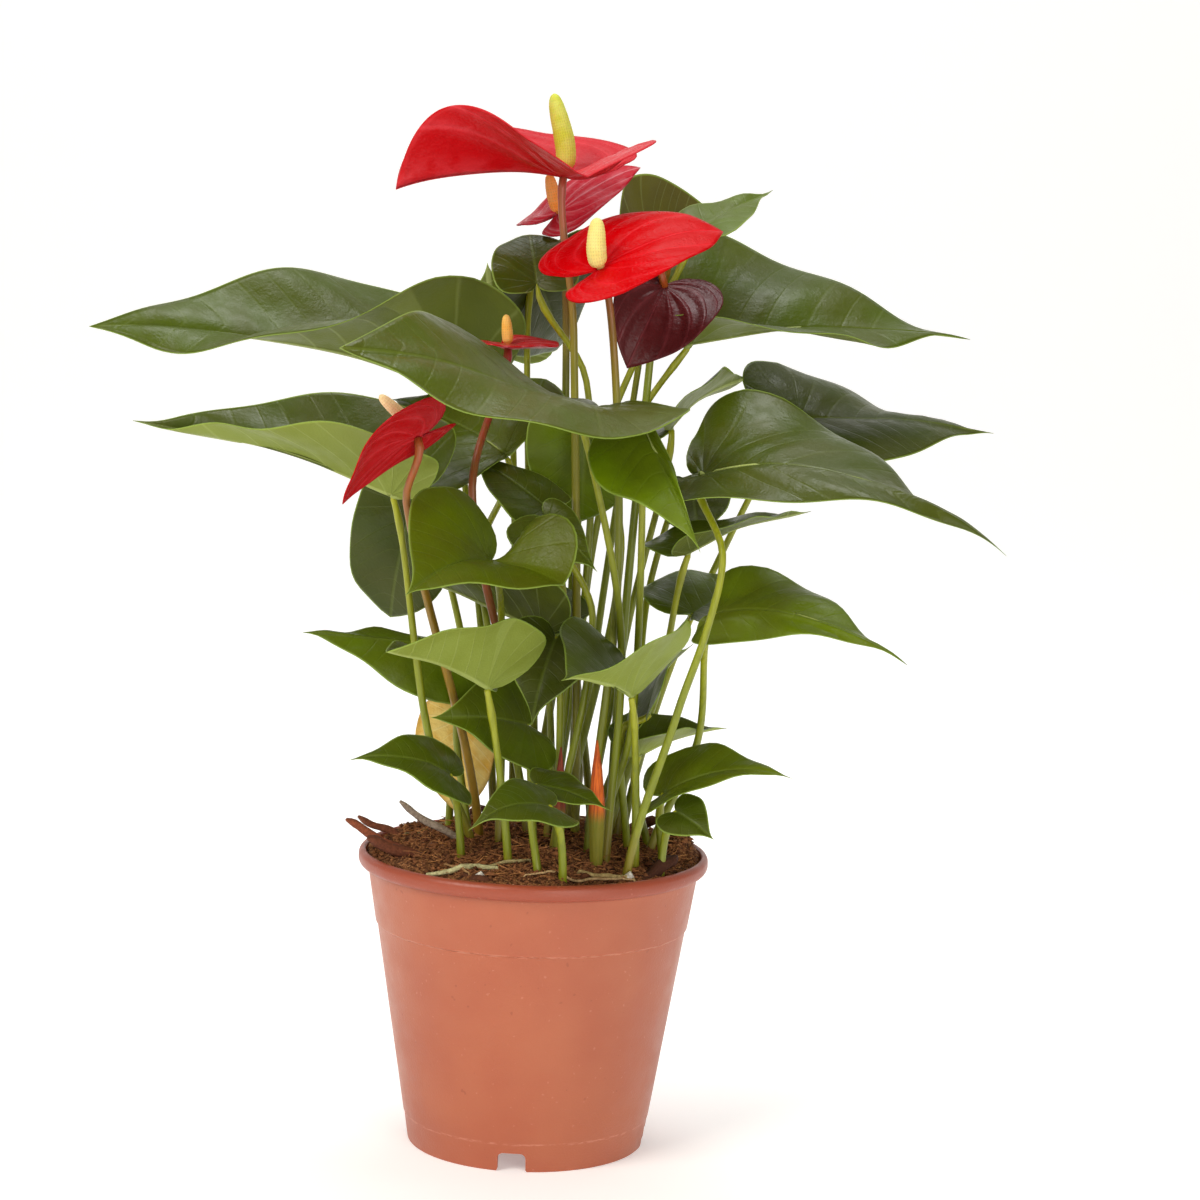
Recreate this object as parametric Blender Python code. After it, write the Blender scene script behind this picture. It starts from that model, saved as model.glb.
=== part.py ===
# Potted anthurium: a 12 cm nursery pot filled with coir, with leaves and blooms standing in it.
# Shapes are worked out in millimetres, with +Z up and the origin under the pot's axis, on the
# surface that the pot stands on. put() turns millimetres into metres.
import bpy
import math
import numpy as np
from mathutils.bvhtree import BVHTree

MM = 0.001
GAP = 0.3                 # clearance between neighbouring pieces
SEAT_GAP = 0.7            # clearance on the midrib, under and over a spathe

# Pot: a thermoformed wall with a rolled rim, a foot ring and a raised base plate
POT_SIDES = 36
FOOT_R = 40.9             # outer radius on the ground
WALL_SLOPE = 0.16         # radius gained for each mm of height
WALL = 1.3
RING_Z = 76.2             # fine step round the wall
RING_STEP = 0.5
RIM_LOW_Z = 95.8
RIM_TOP_Z = 101.6
RIM_R = 60.0
RIM_INNER_R = 57.6
FOOT_WIDE = 2.2
FOOT_STEP_Z = 9.4         # low step where the foot ring ends
BASE_Z = 8.0              # underside of the base plate
BASE_THICK = 1.6
NOTCH_WIDE = 9.5          # drain notches in the foot ring
NOTCH_TALL = 6.6
NOTCH_CORNER = 2.0
NOTCH_COUNT = 4
NOTCH_TURN = -96.0        # azimuth of the front notch
HOLE_R = 4.0              # drain holes in the base plate
HOLE_AT = 25.0
HOLE_SIDES = 12

# Coir: a low mound that stands a little over the rim
SOIL_RINGS = 5
SOIL_EDGE_Z = 100.6
SOIL_CROWN_Z = 107.5
SOIL_LUMP = 1.2
STEM_DEPTH = 7.0          # how far stems stand in the coir
CHIP_SIDES = 5
# Bark and sticks lying on the coir: start, end and radius
CHIPS = [((-64, -10, 112), (-38, -15, 100), 1.8), ((-56, -22, 108), (-34, -27, 101), 2.2),
         ((-46, -8, 118), (-19, -14, 103), 1.2), ((-61, 6, 110), (-40, 4, 100), 1.5),
         ((48, -26, 106), (36, -41, 100), 2.6), ((-14, -54, 101), (-23, -47, 101), 2.4),
         ((44, 30, 107), (29, 43, 99), 2.2), ((-18, 48, 106), (-39, 37, 99), 2.0),
         ((8, 50, 104), (26, 45, 100), 2.4)]

BLADE_THICK = 0.8
SHORT_BLADE = 40.0        # shorter blades have fewer faces, and longer ones than LONG_BLADE more
LONG_BLADE = 70.0
STEM_R = (1.55, 1.1)      # petiole radius at the soil and under the blade
STALK_R = (1.7, 1.35)     # flower stalk radius at the soil and under the spathe
STEM_SIDES = 5
STEM_STEPS = 8
GENICULUM = 38.0          # reach of the bend under a blade
BEND_REACH = (4, 8, 12, 17, 23, 30)    # how far a stem may be pushed aside to be clear
BEND_AT = (0.5, 0.7, 0.3, 0.85)        # where along its length
BEND_SLACK = 0.4
BEND_STEP = 2.5           # spacing of the points that are tested
OWN_REACH = 14.0          # a stem may be this near its own blade's seat
SPADIX_SIDES = 7
SPADIX_BASE = 0.45        # radius at its foot over its full radius
SHEATH_SIDES = 6

# Colour and roughness of each finish
FINISHES = {
    "pot plastic": ((0.5, 0.17, 0.09), 0.38),
    "coir": ((0.1, 0.045, 0.02), 0.95),
    "leaf": ((0.055, 0.11, 0.03), 0.42),
    "young leaf": ((0.09, 0.2, 0.02), 0.38),
    "yellowed leaf": ((0.62, 0.42, 0.09), 0.5),
    "red spathe": ((0.62, 0.01, 0.02), 0.28),
    "maroon spathe": ((0.07, 0.008, 0.012), 0.35),
    "flower stalk": ((0.14, 0.13, 0.02), 0.45),
    "spadix": ((0.7, 0.5, 0.1), 0.55),
    "sheath": ((0.42, 0.1, 0.02), 0.6),
}


def leaf(at, tip, width, look, fold, arch, foot, look_tip=None, via=(), lobe=0.22, blunt=0.0,
         wide=0.12, right=1.0, left=1.0, lift=(10, 10), curl=(-15, -15), finish="leaf"):
    """One row of the leaf table.
    at, tip: where the blade meets its stem, and where it ends. look: azimuth and elevation that
    the top face looks to, at the stem and at the tip. fold: how far the right and left halves are
    raised off flat, each at the stem and at the tip. arch: rise of the midrib over its chord.
    right, left: width of each half over half the width. lift: how far each lobe is raised.
    curl: how far each half bends from its midrib to its edge."""
    return dict(at=at, tip=tip, width=width, look=look, look_tip=look_tip or look, fold=fold,
                arch=arch, foot=foot, via=via, lobe=lobe, blunt=blunt, wide=wide, right=right,
                left=left, lift=lift, curl=curl, finish=finish)


LEAVES = {
    "leaf_01": leaf((-36, 48, 255), (-158, 22, 274), 94, (-90, 88), (44, 4, 66, -10), 9,
                    (-14, 20), look_tip=(-90, 50), blunt=0.14, curl=(-15, -10), lobe=0.16),
    "leaf_02": leaf((10, -48, 256), (-63, -104, 275), 80, (-90, 62), (-8, 42, 26, -22), 3,
                    (24, -27), via=[(23, -27, 182)], lobe=0.2, blunt=0.16, lift=(5, 30)),
    "leaf_03": leaf((-50, -34, 225), (-137, -18, 246), 64, (-90, 88), (64, 42, 60, 24), 3,
                    (-20, -14), look_tip=(-90, 80), via=[(-36, -24, 143)], left=0.8, lobe=0.15),
    "leaf_04": leaf((-14, 2, 237), (-55, 44, 252), 66, (-90, 45), (14, 8, 14, 8), 4, (-2, -2),
                    lobe=0.06, wide=0.2),
    "leaf_05": leaf((-46, 22, 217), (-53, 34, 176), 38, (-100, 15), (10, 5, 10, 5), 3,
                    (-26, 10), blunt=0.6),
    "leaf_06": leaf((-17, -58, 207), (-42, -94, 199), 60, (-90, 60), (42, 12, 14, 5), 4,
                    (-12, -14), look_tip=(-100, 50), via=[(-13, -12, 177)], lobe=0.28,
                    lift=(12, 58)),
    "leaf_07": leaf((0, -2, 177), (-40, 14, 191), 52, (-90, 85), (30, 15, 68, 50), 1, (6, 4)),
    "leaf_08": leaf((-17, -46, 164), (-48, -82, 180), 54, (-90, 88), (30, 10, 64, 40), 2,
                    (-8, -36), look_tip=(-80, 80), blunt=0.5, right=0.55),
    "leaf_09": leaf((-29, -12, 172), (-79, -24, 177), 40, (-90, 75), (-6, -4, -45, -30), 1,
                    (-22, -4), finish="young leaf"),
    "leaf_10": leaf((5, -20, 177), (-2, -36, 150), 34, (-100, 20), (12, 6, 12, 6), 4, (8, -10)),
    "leaf_11": leaf((-4, -19, 148), (-35, -41, 153), 38, (-90, 35), (10, 5, 10, 5), 2,
                    (0, -20)),
    "leaf_12": leaf((-29, -34, 133), (-61, -48, 139), 27, (-90, 52), (10, 4, 10, 4), 5,
                    (-24, -26)),
    "leaf_13": leaf((4, -64, 129), (-21, -78, 123), 26, (-90, 60), (12, 4, 12, 4), 5,
                    (10, -50)),
    "leaf_14": leaf((1, -43, 132), (25, -59, 127), 20, (-90, 70), (12, 4, 12, 4), 1, (2, -44)),
    "leaf_15": leaf((30, -48, 163), (7, -84, 173), 64, (-90, 88), (52, 25, 66, 30), 2,
                    (34, -30), look_tip=(-80, 80)),
    "leaf_16": leaf((37, -22, 154), (52, -4, 175), 38, (120, 60), (15, 8, 15, 8), 3, (32, -12)),
    "leaf_17": leaf((35, -8, 137), (65, 2, 145), 34, (-90, 85), (45, 20, 45, 20), 2, (40, -2)),
    "leaf_18": leaf((43, -30, 128), (84, -44, 137), 36, (-90, 55), (12, 4, 12, 4), 6,
                    (44, -24), look_tip=(-90, 60), right=0.45, finish="young leaf"),
    "leaf_19": leaf((47, -38, 123), (59, -46, 116), 18, (-90, 40), (10, 4, 10, 4), 1,
                    (42, -32)),
    "leaf_20": leaf((58, -38, 190), (117, -66, 178), 42, (-90, 70), (-50, 0, 30, -30), 8,
                    (38, -12), look_tip=(-80, 60), via=[(54, -12, 142)], right=0.55, lobe=0.08),
    "leaf_21": leaf((53, 18, 183), (81, 62, 192), 42, (-90, 60), (15, 8, 15, 8), 2, (30, 14)),
    "leaf_22": leaf((50, 2, 206), (93, 26, 219), 40, (-90, 85), (40, 20, 14, 4), 2, (24, 2)),
    "leaf_23": leaf((51, -50, 236), (145, -80, 216), 86, (-90, 60), (8, -14, 16, -55), 15,
                    (30, -40), via=[(45, -58, 160), (53, -68, 189), (57, -66, 212)],
                    right=0.5, lobe=0.1),
    "leaf_24": leaf((89, 40, 250), (161, 62, 246), 64, (-90, 62), (8, 0, 18, -45), 3, (20, 18)),
    "leaf_25": leaf((49, 22, 276), (149, 50, 279), 96, (-90, 86), (26, -10, 56, 4), 5,
                    (12, 24), look_tip=(-90, 66), right=0.8),
    "leaf_26": leaf((35, 54, 303), (59, 80, 321), 60, (95, 20), (12, 6, 12, 6), 4, (14, 34),
                    blunt=0.3),
    "leaf_27": leaf((49, 18, 314), (77, 50, 330), 26, (-90, 75), (14, 6, 14, 6), 1, (20, 30),
                    finish="young leaf"),
    "leaf_28": leaf((-5, 6, 295), (-8, 22, 311), 30, (-90, 45), (16, 8, 16, 8), 2, (6, 16),
                    via=[(15, 17, 190), (13, 14, 262)], blunt=0.5),
    "leaf_29": leaf((-5, 52, 296), (3, 82, 270), 54, (-90, 30), (12, 5, 12, 5), 3, (0, 22),
                    blunt=0.2),
    "leaf_30": leaf((-19, 88, 271), (-24, 104, 301), 44, (100, 28), (14, 6, 14, 6), 3,
                    (-8, 24), via=[(-12, 60, 238), (-18, 85, 256)]),
    "leaf_31": leaf((31, -50, 251), (49, -84, 214), 43, (-100, 20), (14, 8, 20, 10), 3,
                    (20, -16), look_tip=(-90, 30), left=0.16, lobe=0.1, wide=0.3,
                    finish="young leaf"),
    "leaf_32": leaf((13, 2, 247), (13, 12, 214), 40, (-90, 15), (12, 5, 12, 5), 4, (10, 4),
                    blunt=0.4, finish="young leaf"),
    "leaf_33": leaf((43, 24, 247), (73, 64, 263), 46, (100, 50), (14, 6, 14, 6), 3, (18, 10)),
    "leaf_34": leaf((51, 33, 226), (54, 37, 208), 28, (-90, 30), (10, 5, 10, 5), 3, (28, 8),
                    blunt=0.3),
    "leaf_35": leaf((1, -10, 220), (-29, 4, 237), 30, (-90, 60), (12, 5, 12, 5), 2, (4, -6),
                    right=0.7, lobe=0.08),
    "leaf_36": leaf((1, -26, 218), (18, -38, 202), 32, (-90, 35), (12, 5, 12, 5), 2, (6, -20),
                    left=0.5),
    "leaf_37_yellow": leaf((-26, 14, 144), (-25, 6, 111), 33, (-120, 10), (20, 12, 20, 12), 2,
                           (-30, 16), look_tip=(-110, 10), blunt=0.35, finish="yellowed leaf"),
}

# Blooms: the spathe is a blade like a leaf's, with the spadix standing on it
BLOOMS = {
    "bloom_1": dict(blade=leaf((3, 0, 331), (-52, -14, 324), 57, (-90, 86), (38, 30, 8, 88), 4,
                               (14, -2), via=[(6, 0, 280)], lobe=0.5, blunt=0.8, wide=0.3,
                               lift=(10, 30), finish="red spathe"),
                    spadix=(-1, 0, 358), spadix_r=3.4),
    "bloom_2": dict(blade=leaf((2, 26, 319), (30, 44, 336), 34, (-90, 70), (-10, 0, -10, 0), 2,
                               (-2, 14), look_tip=(-90, 60), via=[(-2, 16, 289)], lobe=0.3,
                               blunt=0.3, wide=0.1, right=0.6, finish="red spathe"),
                    spadix=(-2, 22, 332), spadix_r=2.4),
    "bloom_3": dict(blade=leaf((16, -34, 301), (56, -20, 314), 48, (-90, 62), (6, 4, 6, 4), 4,
                               (18, -20), look_tip=(-90, 60), via=[(18, -30, 260)], lobe=0.36,
                               blunt=0.45, wide=0.1, right=0.75, lift=(12, 10),
                               finish="red spathe"),
                    spadix=(14, -36, 317), spadix_r=3.2),
    "bloom_4": dict(blade=leaf((38, -4, 295), (26, -16, 268), 42, (90, -10),
                               (-16, -26, -16, -26), -3, (26, 16),
                               via=[(46, 9, 284), (50, 2, 304), (45, -9, 304)],
                               lobe=0.24, blunt=0.4, right=1.05, left=0.8,
                               finish="maroon spathe")),
    "bloom_5": dict(blade=leaf((-14, 8, 273), (3, -4, 274), 32, (-90, 86), (16, 5, 16, 5), 0,
                               (4, 12), via=[(-24, -17, 223)], lobe=0.3,
                               blunt=0.3, finish="red spathe"),
                    spadix=(-15, 8, 284), spadix_r=1.9),
    "bloom_6": dict(blade=leaf((-41, -62, 246), (-63, -75, 225), 30, (165, 42),
                               (-20, -30, 34, 10), 3, (-18, -3), look_tip=(165, 30),
                               via=[(-42, -54, 225)],
                               lobe=0.4, blunt=0.25, right=0.5, finish="red spathe"),
                    spadix=(-53, -64, 259), spadix_r=2.2),
}

# Sheaths of shoots that haven't opened: foot, top and radius
SHEATHS = {
    "sheath_1": ((21, -34), (19.8, -35, 146), 2.8),
    "sheath_2": ((8, -26), (8, -27, 142), 2.2),
}


def unit(v):
    """The vector, or each row of an array, at length 1."""
    v = np.asarray(v, float)
    return v / np.linalg.norm(v, axis=-1, keepdims=True)


def heading(azimuth, elevation):
    """Unit vector at an azimuth from +X towards +Y, and an elevation."""
    a, e = np.radians(azimuth), np.radians(elevation)
    return np.array([np.cos(a) * np.cos(e), np.sin(a) * np.cos(e), np.sin(e)])


def bezier(points, count):
    """Points on a cubic Bezier curve, without its last one."""
    p = np.asarray(points, float)
    t = np.linspace(0, 1, count + 1)[:-1, None]
    return (1 - t)**3 * p[0] + 3 * t * (1 - t)**2 * p[1] + 3 * t * t * (1 - t) * p[2] + t**3 * p[3]


def heart_outline(length, half, lobe, blunt, wide, counts):
    """Closed heart outline round the stem's end, with the tip at (length, 0)."""
    tip_side = [(1, 0), (0.74 + 0.1 * blunt, 0.04 + 1.6 * blunt), (0.5, 0.92 + 0.2 * blunt),
                (wide, 1)]
    shoulder = [(wide, 1), (wide - 0.3, 1), (-1.15 * lobe, 0.78), (-lobe, 0.4)]
    sinus = [(-lobe, 0.4), (-0.85 * lobe, 0.1), (-0.05, 0.03), (-0.02, 0)]
    side = np.concatenate([bezier(tip_side, counts[0]), bezier(shoulder, counts[1]),
                           bezier(sinus, counts[2]), [(-0.02, 0)]])
    side = side * [length, half]
    return np.concatenate([side, side[-2:0:-1] * [1, -1]])


def frame_of(s):
    """Length of a blade, the direction of its chord, and its top normal at the stem."""
    chord = np.subtract(s["tip"], s["at"]).astype(float)
    along = unit(chord)
    normal = heading(*s["look"])
    return np.linalg.norm(chord), along, unit(normal - (normal @ along) * along)


def lay_blade(s, flat):
    """Flat points (u along the midrib, v to the right) laid on the arched, folded blade.
    The normal turns from look to look_tip. Each half leaves the midrib at its fold angle and
    follows a circular arc, so its width is kept."""
    length, along, _ = frame_of(s)
    u = flat[:, 0]
    on_right = flat[:, 1] >= 0
    v = np.abs(flat[:, 1]) * np.where(on_right, s["right"], s["left"])
    t = u / length
    t01 = np.clip(t, 0, 1)[:, None]
    normal = (1 - t01) * heading(*s["look"]) + t01 * heading(*s["look_tip"])
    normal = unit(normal - (normal @ along)[:, None] * along)
    side = np.cross(along, normal)
    raised = np.tan(np.radians(np.where(on_right, *s["lift"])))
    behind = 4 * s["arch"] * t - raised * u * np.clip(v / 6, 0, 1)
    rise = np.where(t >= 0, 4 * s["arch"] * t * (1 - t), behind)
    f0, f1, g0, g1 = s["fold"]
    t01 = t01[:, 0]
    start = np.radians(np.where(on_right, f0 + (f1 - f0) * t01, g0 + (g1 - g0) * t01))
    bend = np.radians(np.where(on_right, *s["curl"])) / (0.5 * s["width"])
    across = (np.sin(start + bend * v) - np.sin(start)) / bend
    up = (np.cos(start) - np.cos(start + bend * v)) / bend
    across = np.where(on_right, across, -across)
    return (np.asarray(s["at"], float) + along * u[:, None] + normal * (rise + up)[:, None]
            + side * across[:, None])


def blade_mesh(s, counts, rings):
    """The blade as rings of points round the stem's end, thickened to a closed solid."""
    length = frame_of(s)[0]
    outline = heart_outline(length, 0.5 * s["width"], s["lobe"], s["blunt"], s["wide"], counts)
    n = len(outline)
    steps = np.linspace(0, 1, rings + 1)[1:, None, None]
    flat = np.concatenate([np.zeros((1, 2)), (steps * outline).reshape(-1, 2)])
    mid = lay_blade(s, flat)
    i = np.arange(n)
    j = (i + 1) % n
    faces = [np.stack([0 * i, 1 + i, 1 + j], 1)]
    for k in range(rings - 1):
        a, b = 1 + k * n, 1 + (k + 1) * n
        first = np.where((i < n / 2)[:, None], np.stack([a + i, b + i, b + j], 1),
                         np.stack([a + i, b + i, a + j], 1))
        second = np.where((i < n / 2)[:, None], np.stack([a + i, b + j, a + j], 1),
                          np.stack([b + i, b + j, a + j], 1))
        faces += [first, second]
    faces = np.concatenate(faces)
    normals = np.zeros_like(mid)
    area = np.cross(mid[faces[:, 1]] - mid[faces[:, 0]], mid[faces[:, 2]] - mid[faces[:, 0]])
    for corner in range(3):
        np.add.at(normals, faces[:, corner], area)
    normals = unit(normals) * BLADE_THICK / 2
    rim = 1 + (rings - 1) * n + i
    following = np.roll(rim, -1)
    m = len(mid)
    edge = [np.stack([rim, rim + m, following + m], 1), np.stack([rim, following + m, following], 1)]
    return (np.concatenate([mid + normals, mid - normals]),
            np.concatenate([faces, faces[:, ::-1] + m] + edge))


def stem_curve(s, count, stop, via):
    """Centre line of a stem, from in the coir through its via points to under the blade."""
    _, along, normal = frame_of(s)
    end_way = unit(0.75 * normal + 0.6 * along) if stop == 0 else seat_of(s)[0]
    end = np.asarray(s["at"], float) - stop * end_way
    points = np.array([(*s["foot"], soil_height(*s["foot"]) - STEM_DEPTH), *via, end], float)
    spans = np.linalg.norm(np.diff(points, axis=0), axis=1)
    ways = np.zeros_like(points)
    lean = points[1] - points[0]
    ways[0] = unit(lean * [0.35, 0.35, 1])
    ways[-1] = end_way
    for k in range(1, len(points) - 1):
        before, after = unit(points[k] - points[k - 1]), unit(points[k + 1] - points[k])
        ways[k] = unit(before * spans[k - 1] + after * spans[k])
    runs = []
    for k, span in enumerate(spans):
        steps = max(2, round(count * span / spans.sum()))
        t = np.linspace(0, 1, steps + 1)[:None if k == len(spans) - 1 else -1, None]
        reach = min(span, GENICULUM) if k == len(spans) - 1 else span
        runs.append((2 * t**3 - 3 * t * t + 1) * points[k] + (t**3 - 2 * t * t + t) * span * ways[k]
                    + (3 * t * t - 2 * t**3) * points[k + 1] + (t**3 - t * t) * reach * ways[k + 1])
    return np.concatenate(runs)


def tube(centres, radii, sides, first=None, last=None):
    """Closed round tube along a centre line, its rings turned as little as possible."""
    centres = np.asarray(centres, float)
    ways = unit(np.gradient(centres, axis=0))
    if first is not None:
        ways[0] = unit(first)
    if last is not None:
        ways[-1] = unit(last)
    across = np.zeros_like(centres)
    reference = np.array([1, 0.13, 0])
    for k, way in enumerate(ways):
        reference = unit(reference - (reference @ way) * way)
        across[k] = reference
    angles = np.arange(sides) * 2 * np.pi / sides
    ring = (np.cos(angles)[None, :, None] * across[:, None]
            + np.sin(angles)[None, :, None] * np.cross(ways, across)[:, None])
    radii = np.broadcast_to(radii, len(centres))
    points = (centres[:, None] + radii[:, None, None] * ring).reshape(-1, 3)
    i = np.arange(sides)
    j = (i + 1) % sides
    faces = []
    for k in range(len(centres) - 1):
        a, b = k * sides, (k + 1) * sides
        faces += [np.stack([a + i, a + j, b + j], 1), np.stack([a + i, b + j, b + i], 1)]
    low, high, top = len(points), len(points) + 1, (len(centres) - 1) * sides
    faces += [np.stack([low + 0 * i, j, i], 1), np.stack([high + 0 * i, top + i, top + j], 1)]
    return np.concatenate([points, centres[[0, -1]]]), np.concatenate(faces)


def soil_height(x, y):
    """Top of the coir: a dome with low lumps that fade out at the pot's wall."""
    r = np.hypot(x, y) / SOIL_R
    dome = SOIL_EDGE_Z + (SOIL_CROWN_Z - SOIL_EDGE_Z) * (1 - r**2)
    lumps = np.sin(x / 7.3 + 1.1) * np.cos(y / 6.1) + 0.6 * np.sin((x + 2 * y) / 9.7 + 0.4)
    return dome + SOIL_LUMP * lumps


def wall_radius(z):
    """Outer radius of the pot's wall, with its fine step."""
    return FOOT_R + WALL_SLOPE * z + (RING_STEP if z > RING_Z else 0)


SOIL_R = wall_radius(RIM_LOW_Z) + 0.6 - GAP


def material(name):
    """A Principled material for one of the finishes, made once."""
    found = bpy.data.materials.get(name)
    if found:
        return found
    colour, rough = FINISHES[name]
    made = bpy.data.materials.new(name)
    made.use_nodes = True
    shader = made.node_tree.nodes["Principled BSDF"]
    shader.inputs["Base Color"].default_value = (*colour, 1)
    shader.inputs["Roughness"].default_value = rough
    shader.inputs["Metallic"].default_value = 0
    return made


def put(name, shape, finish=None):
    """Object with a mesh made from points in millimetres and triangles."""
    points, faces = shape
    mesh = bpy.data.meshes.new(name)
    mesh.from_pydata((np.asarray(points) * MM).tolist(), [], np.asarray(faces).tolist())
    mesh.validate()
    if finish:
        mesh.materials.append(material(finish))
    made = bpy.data.objects.new(name, mesh)
    bpy.context.scene.collection.objects.link(made)
    return made


def combine(target, tools, operation):
    """Apply one Boolean of a collection of tools to the target, then remove the tools."""
    group = bpy.data.collections.new("tools")
    bpy.context.scene.collection.children.link(group)
    for tool in tools:
        bpy.context.scene.collection.objects.unlink(tool)
        group.objects.link(tool)
    change = target.modifiers.new("combine", "BOOLEAN")
    change.operation = operation
    change.operand_type = "COLLECTION"
    change.collection = group
    change.solver = "MANIFOLD"
    graph = bpy.context.evaluated_depsgraph_get()
    result = bpy.data.meshes.new_from_object(target.evaluated_get(graph))
    target.modifiers.clear()
    old = target.data
    target.data = result
    bpy.data.meshes.remove(old)
    for tool in tools:
        bpy.data.objects.remove(tool)
    bpy.data.collections.remove(group)
    return target


def turned(profile, sides):
    """Points and faces of a closed profile of (radius, z) turned round Z. Radius 0 is a pole."""
    points, faces, rows = [], [], []
    angles = np.arange(sides) * 2 * np.pi / sides
    for radius, z in profile:
        start = len(points)
        if radius == 0:
            points.append((0, 0, z))
            rows.append(np.full(sides, start))
        else:
            points += [(radius * math.cos(a), radius * math.sin(a), z) for a in angles]
            rows.append(start + np.arange(sides))
    for a, b in zip(rows, rows[1:]):
        a2, b2 = np.roll(a, -1), np.roll(b, -1)
        if a[0] != a[1]:
            faces.append(np.stack([a, a2, b2 if b[0] != b[1] else b], 1))
        if b[0] != b[1]:
            faces.append(np.stack([a, b2, b], 1))
    return np.array(points), np.concatenate(faces)


def make_pot():
    """Wall, rolled rim, raised base plate and foot ring, with drain notches and holes."""
    foot_inner = FOOT_R - FOOT_WIDE
    inner = wall_radius(BASE_Z + BASE_THICK) - WALL
    profile = [(0, BASE_Z), (foot_inner - 0.4, BASE_Z), (foot_inner, 0), (FOOT_R - 0.4, 0),
               (FOOT_R, 0.6), (wall_radius(FOOT_STEP_Z) - 0.2, FOOT_STEP_Z),
               (wall_radius(FOOT_STEP_Z + 0.6), FOOT_STEP_Z + 0.6), (wall_radius(RING_Z), RING_Z),
               (wall_radius(RING_Z + 0.5), RING_Z + 0.5), (wall_radius(RIM_LOW_Z), RIM_LOW_Z),
               (RIM_R - 0.8, RIM_LOW_Z + 0.3), (RIM_R - 0.1, RIM_LOW_Z + 1.4),
               (RIM_R, RIM_LOW_Z + 3.2), (RIM_R - 0.5, RIM_TOP_Z - 0.7), (RIM_R - 1.3, RIM_TOP_Z),
               (RIM_R - 2, RIM_TOP_Z - 0.2), (RIM_INNER_R, RIM_TOP_Z - 1),
               (RIM_INNER_R - 0.3, RIM_LOW_Z + 1.5), (wall_radius(RIM_LOW_Z) - WALL, RIM_LOW_Z - 1),
               (inner, BASE_Z + BASE_THICK), (0, BASE_Z + BASE_THICK)]
    pot = put("pot", turned(profile, POT_SIDES), "pot plastic")
    cutters = []
    for k in range(NOTCH_COUNT):
        turn = math.radians(NOTCH_TURN) + k * 2 * math.pi / NOTCH_COUNT
        cutters.append(put("notch", notch_block(turn)))
        hole = tube([(HOLE_AT * math.cos(turn + math.pi / NOTCH_COUNT),
                      HOLE_AT * math.sin(turn + math.pi / NOTCH_COUNT), z)
                     for z in (BASE_Z - 1, BASE_Z + BASE_THICK + 1)], HOLE_R, HOLE_SIDES)
        cutters.append(put("hole", hole))
    return combine(pot, cutters, "DIFFERENCE")


def notch_block(turn):
    """A block with rounded top corners that reaches out through the foot ring."""
    half, corner = NOTCH_WIDE / 2, NOTCH_CORNER
    arc = [math.radians(a) for a in (0, 45, 90)]
    side = [(half - corner + corner * math.cos(a), NOTCH_TALL - corner + corner * math.sin(a))
            for a in arc]
    outline = [(half + 1, -1), (half, 0.8)] + side
    outline += [(-x, z) for x, z in reversed(outline)]
    n = len(outline)
    points = []
    for reach in (FOOT_R - FOOT_WIDE - 3, FOOT_R + 4):
        points += [(reach * math.cos(turn) - x * math.sin(turn),
                    reach * math.sin(turn) + x * math.cos(turn), z) for x, z in outline]
    faces = [(0, k + 1, k) for k in range(1, n - 1)] + [(n, n + k, n + k + 1) for k in range(1, n - 1)]
    for i in range(n):
        j = (i + 1) % n
        faces += [(i, j, n + j), (i, n + j, n + i)]
    return points, faces


def make_soil(stems):
    """The coir in the pot, with bark and sticks fused to it, and a plain hole for each stem."""
    top = [(0, 0)] + [(SOIL_R * k / SOIL_RINGS, k) for k in range(1, SOIL_RINGS + 1)]
    low = BASE_Z + BASE_THICK + GAP
    below = [(wall_radius(RIM_LOW_Z) - WALL - 2 * GAP, RIM_LOW_Z - 1.5),
             (wall_radius(low) - WALL - 1.3 * GAP, low), (0, low)]
    profile = [(r, 0) for r, _ in top] + below
    points, faces = turned(profile, POT_SIDES)
    count = 1 + SOIL_RINGS * POT_SIDES
    points[:count, 2] = soil_height(points[:count, 0], points[:count, 1])
    soil = put("soil", (points, faces[:, ::-1]), "coir")
    chips = []
    for start, end, radius in CHIPS:
        start, end = np.array(start, float), np.array(end, float)
        line = [start + (end - start) * t for t in (0, 0.15, 0.6, 1)]
        chips.append(put("chip", tube(line, np.array([0.45, 1, 1, 0.6]) * radius, CHIP_SIDES)))
    combine(soil, chips, "UNION")
    holes = []
    for centres, radii, sides in stems:
        reach = 1 + int(np.argmax(centres[:, 2] > SOIL_CROWN_Z + 4))
        line = centres[:reach + 1].copy()
        line[0] -= unit(line[1] - line[0]) * GAP
        wide = radii[:reach + 1] + GAP / math.cos(math.pi / sides)
        holes.append(put("hole", tube(line, wide, sides)))
    return combine(soil, holes, "DIFFERENCE")


def seat_of(s):
    """Normal and midrib direction of the arched blade just where its stem meets it."""
    length, along, normal = frame_of(s)
    slope = 4 * s["arch"] / length
    return unit(normal - slope * along), unit(along + slope * normal)


def blade_counts(s):
    """Outline points and rings, more of them on a long blade."""
    length = frame_of(s)[0]
    if length < SHORT_BLADE:
        return (3, 2, 1), 2
    return ((5, 3, 2), 3) if length > LONG_BLADE else ((4, 2, 2), 2)


def stalk_stop(s):
    """How far under the midrib a flower stalk ends."""
    droop = math.radians(max(0, -s["fold"][0], -s["fold"][2]))
    return BLADE_THICK / 2 + SEAT_GAP + STALK_R[1] * math.tan(droop)


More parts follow.
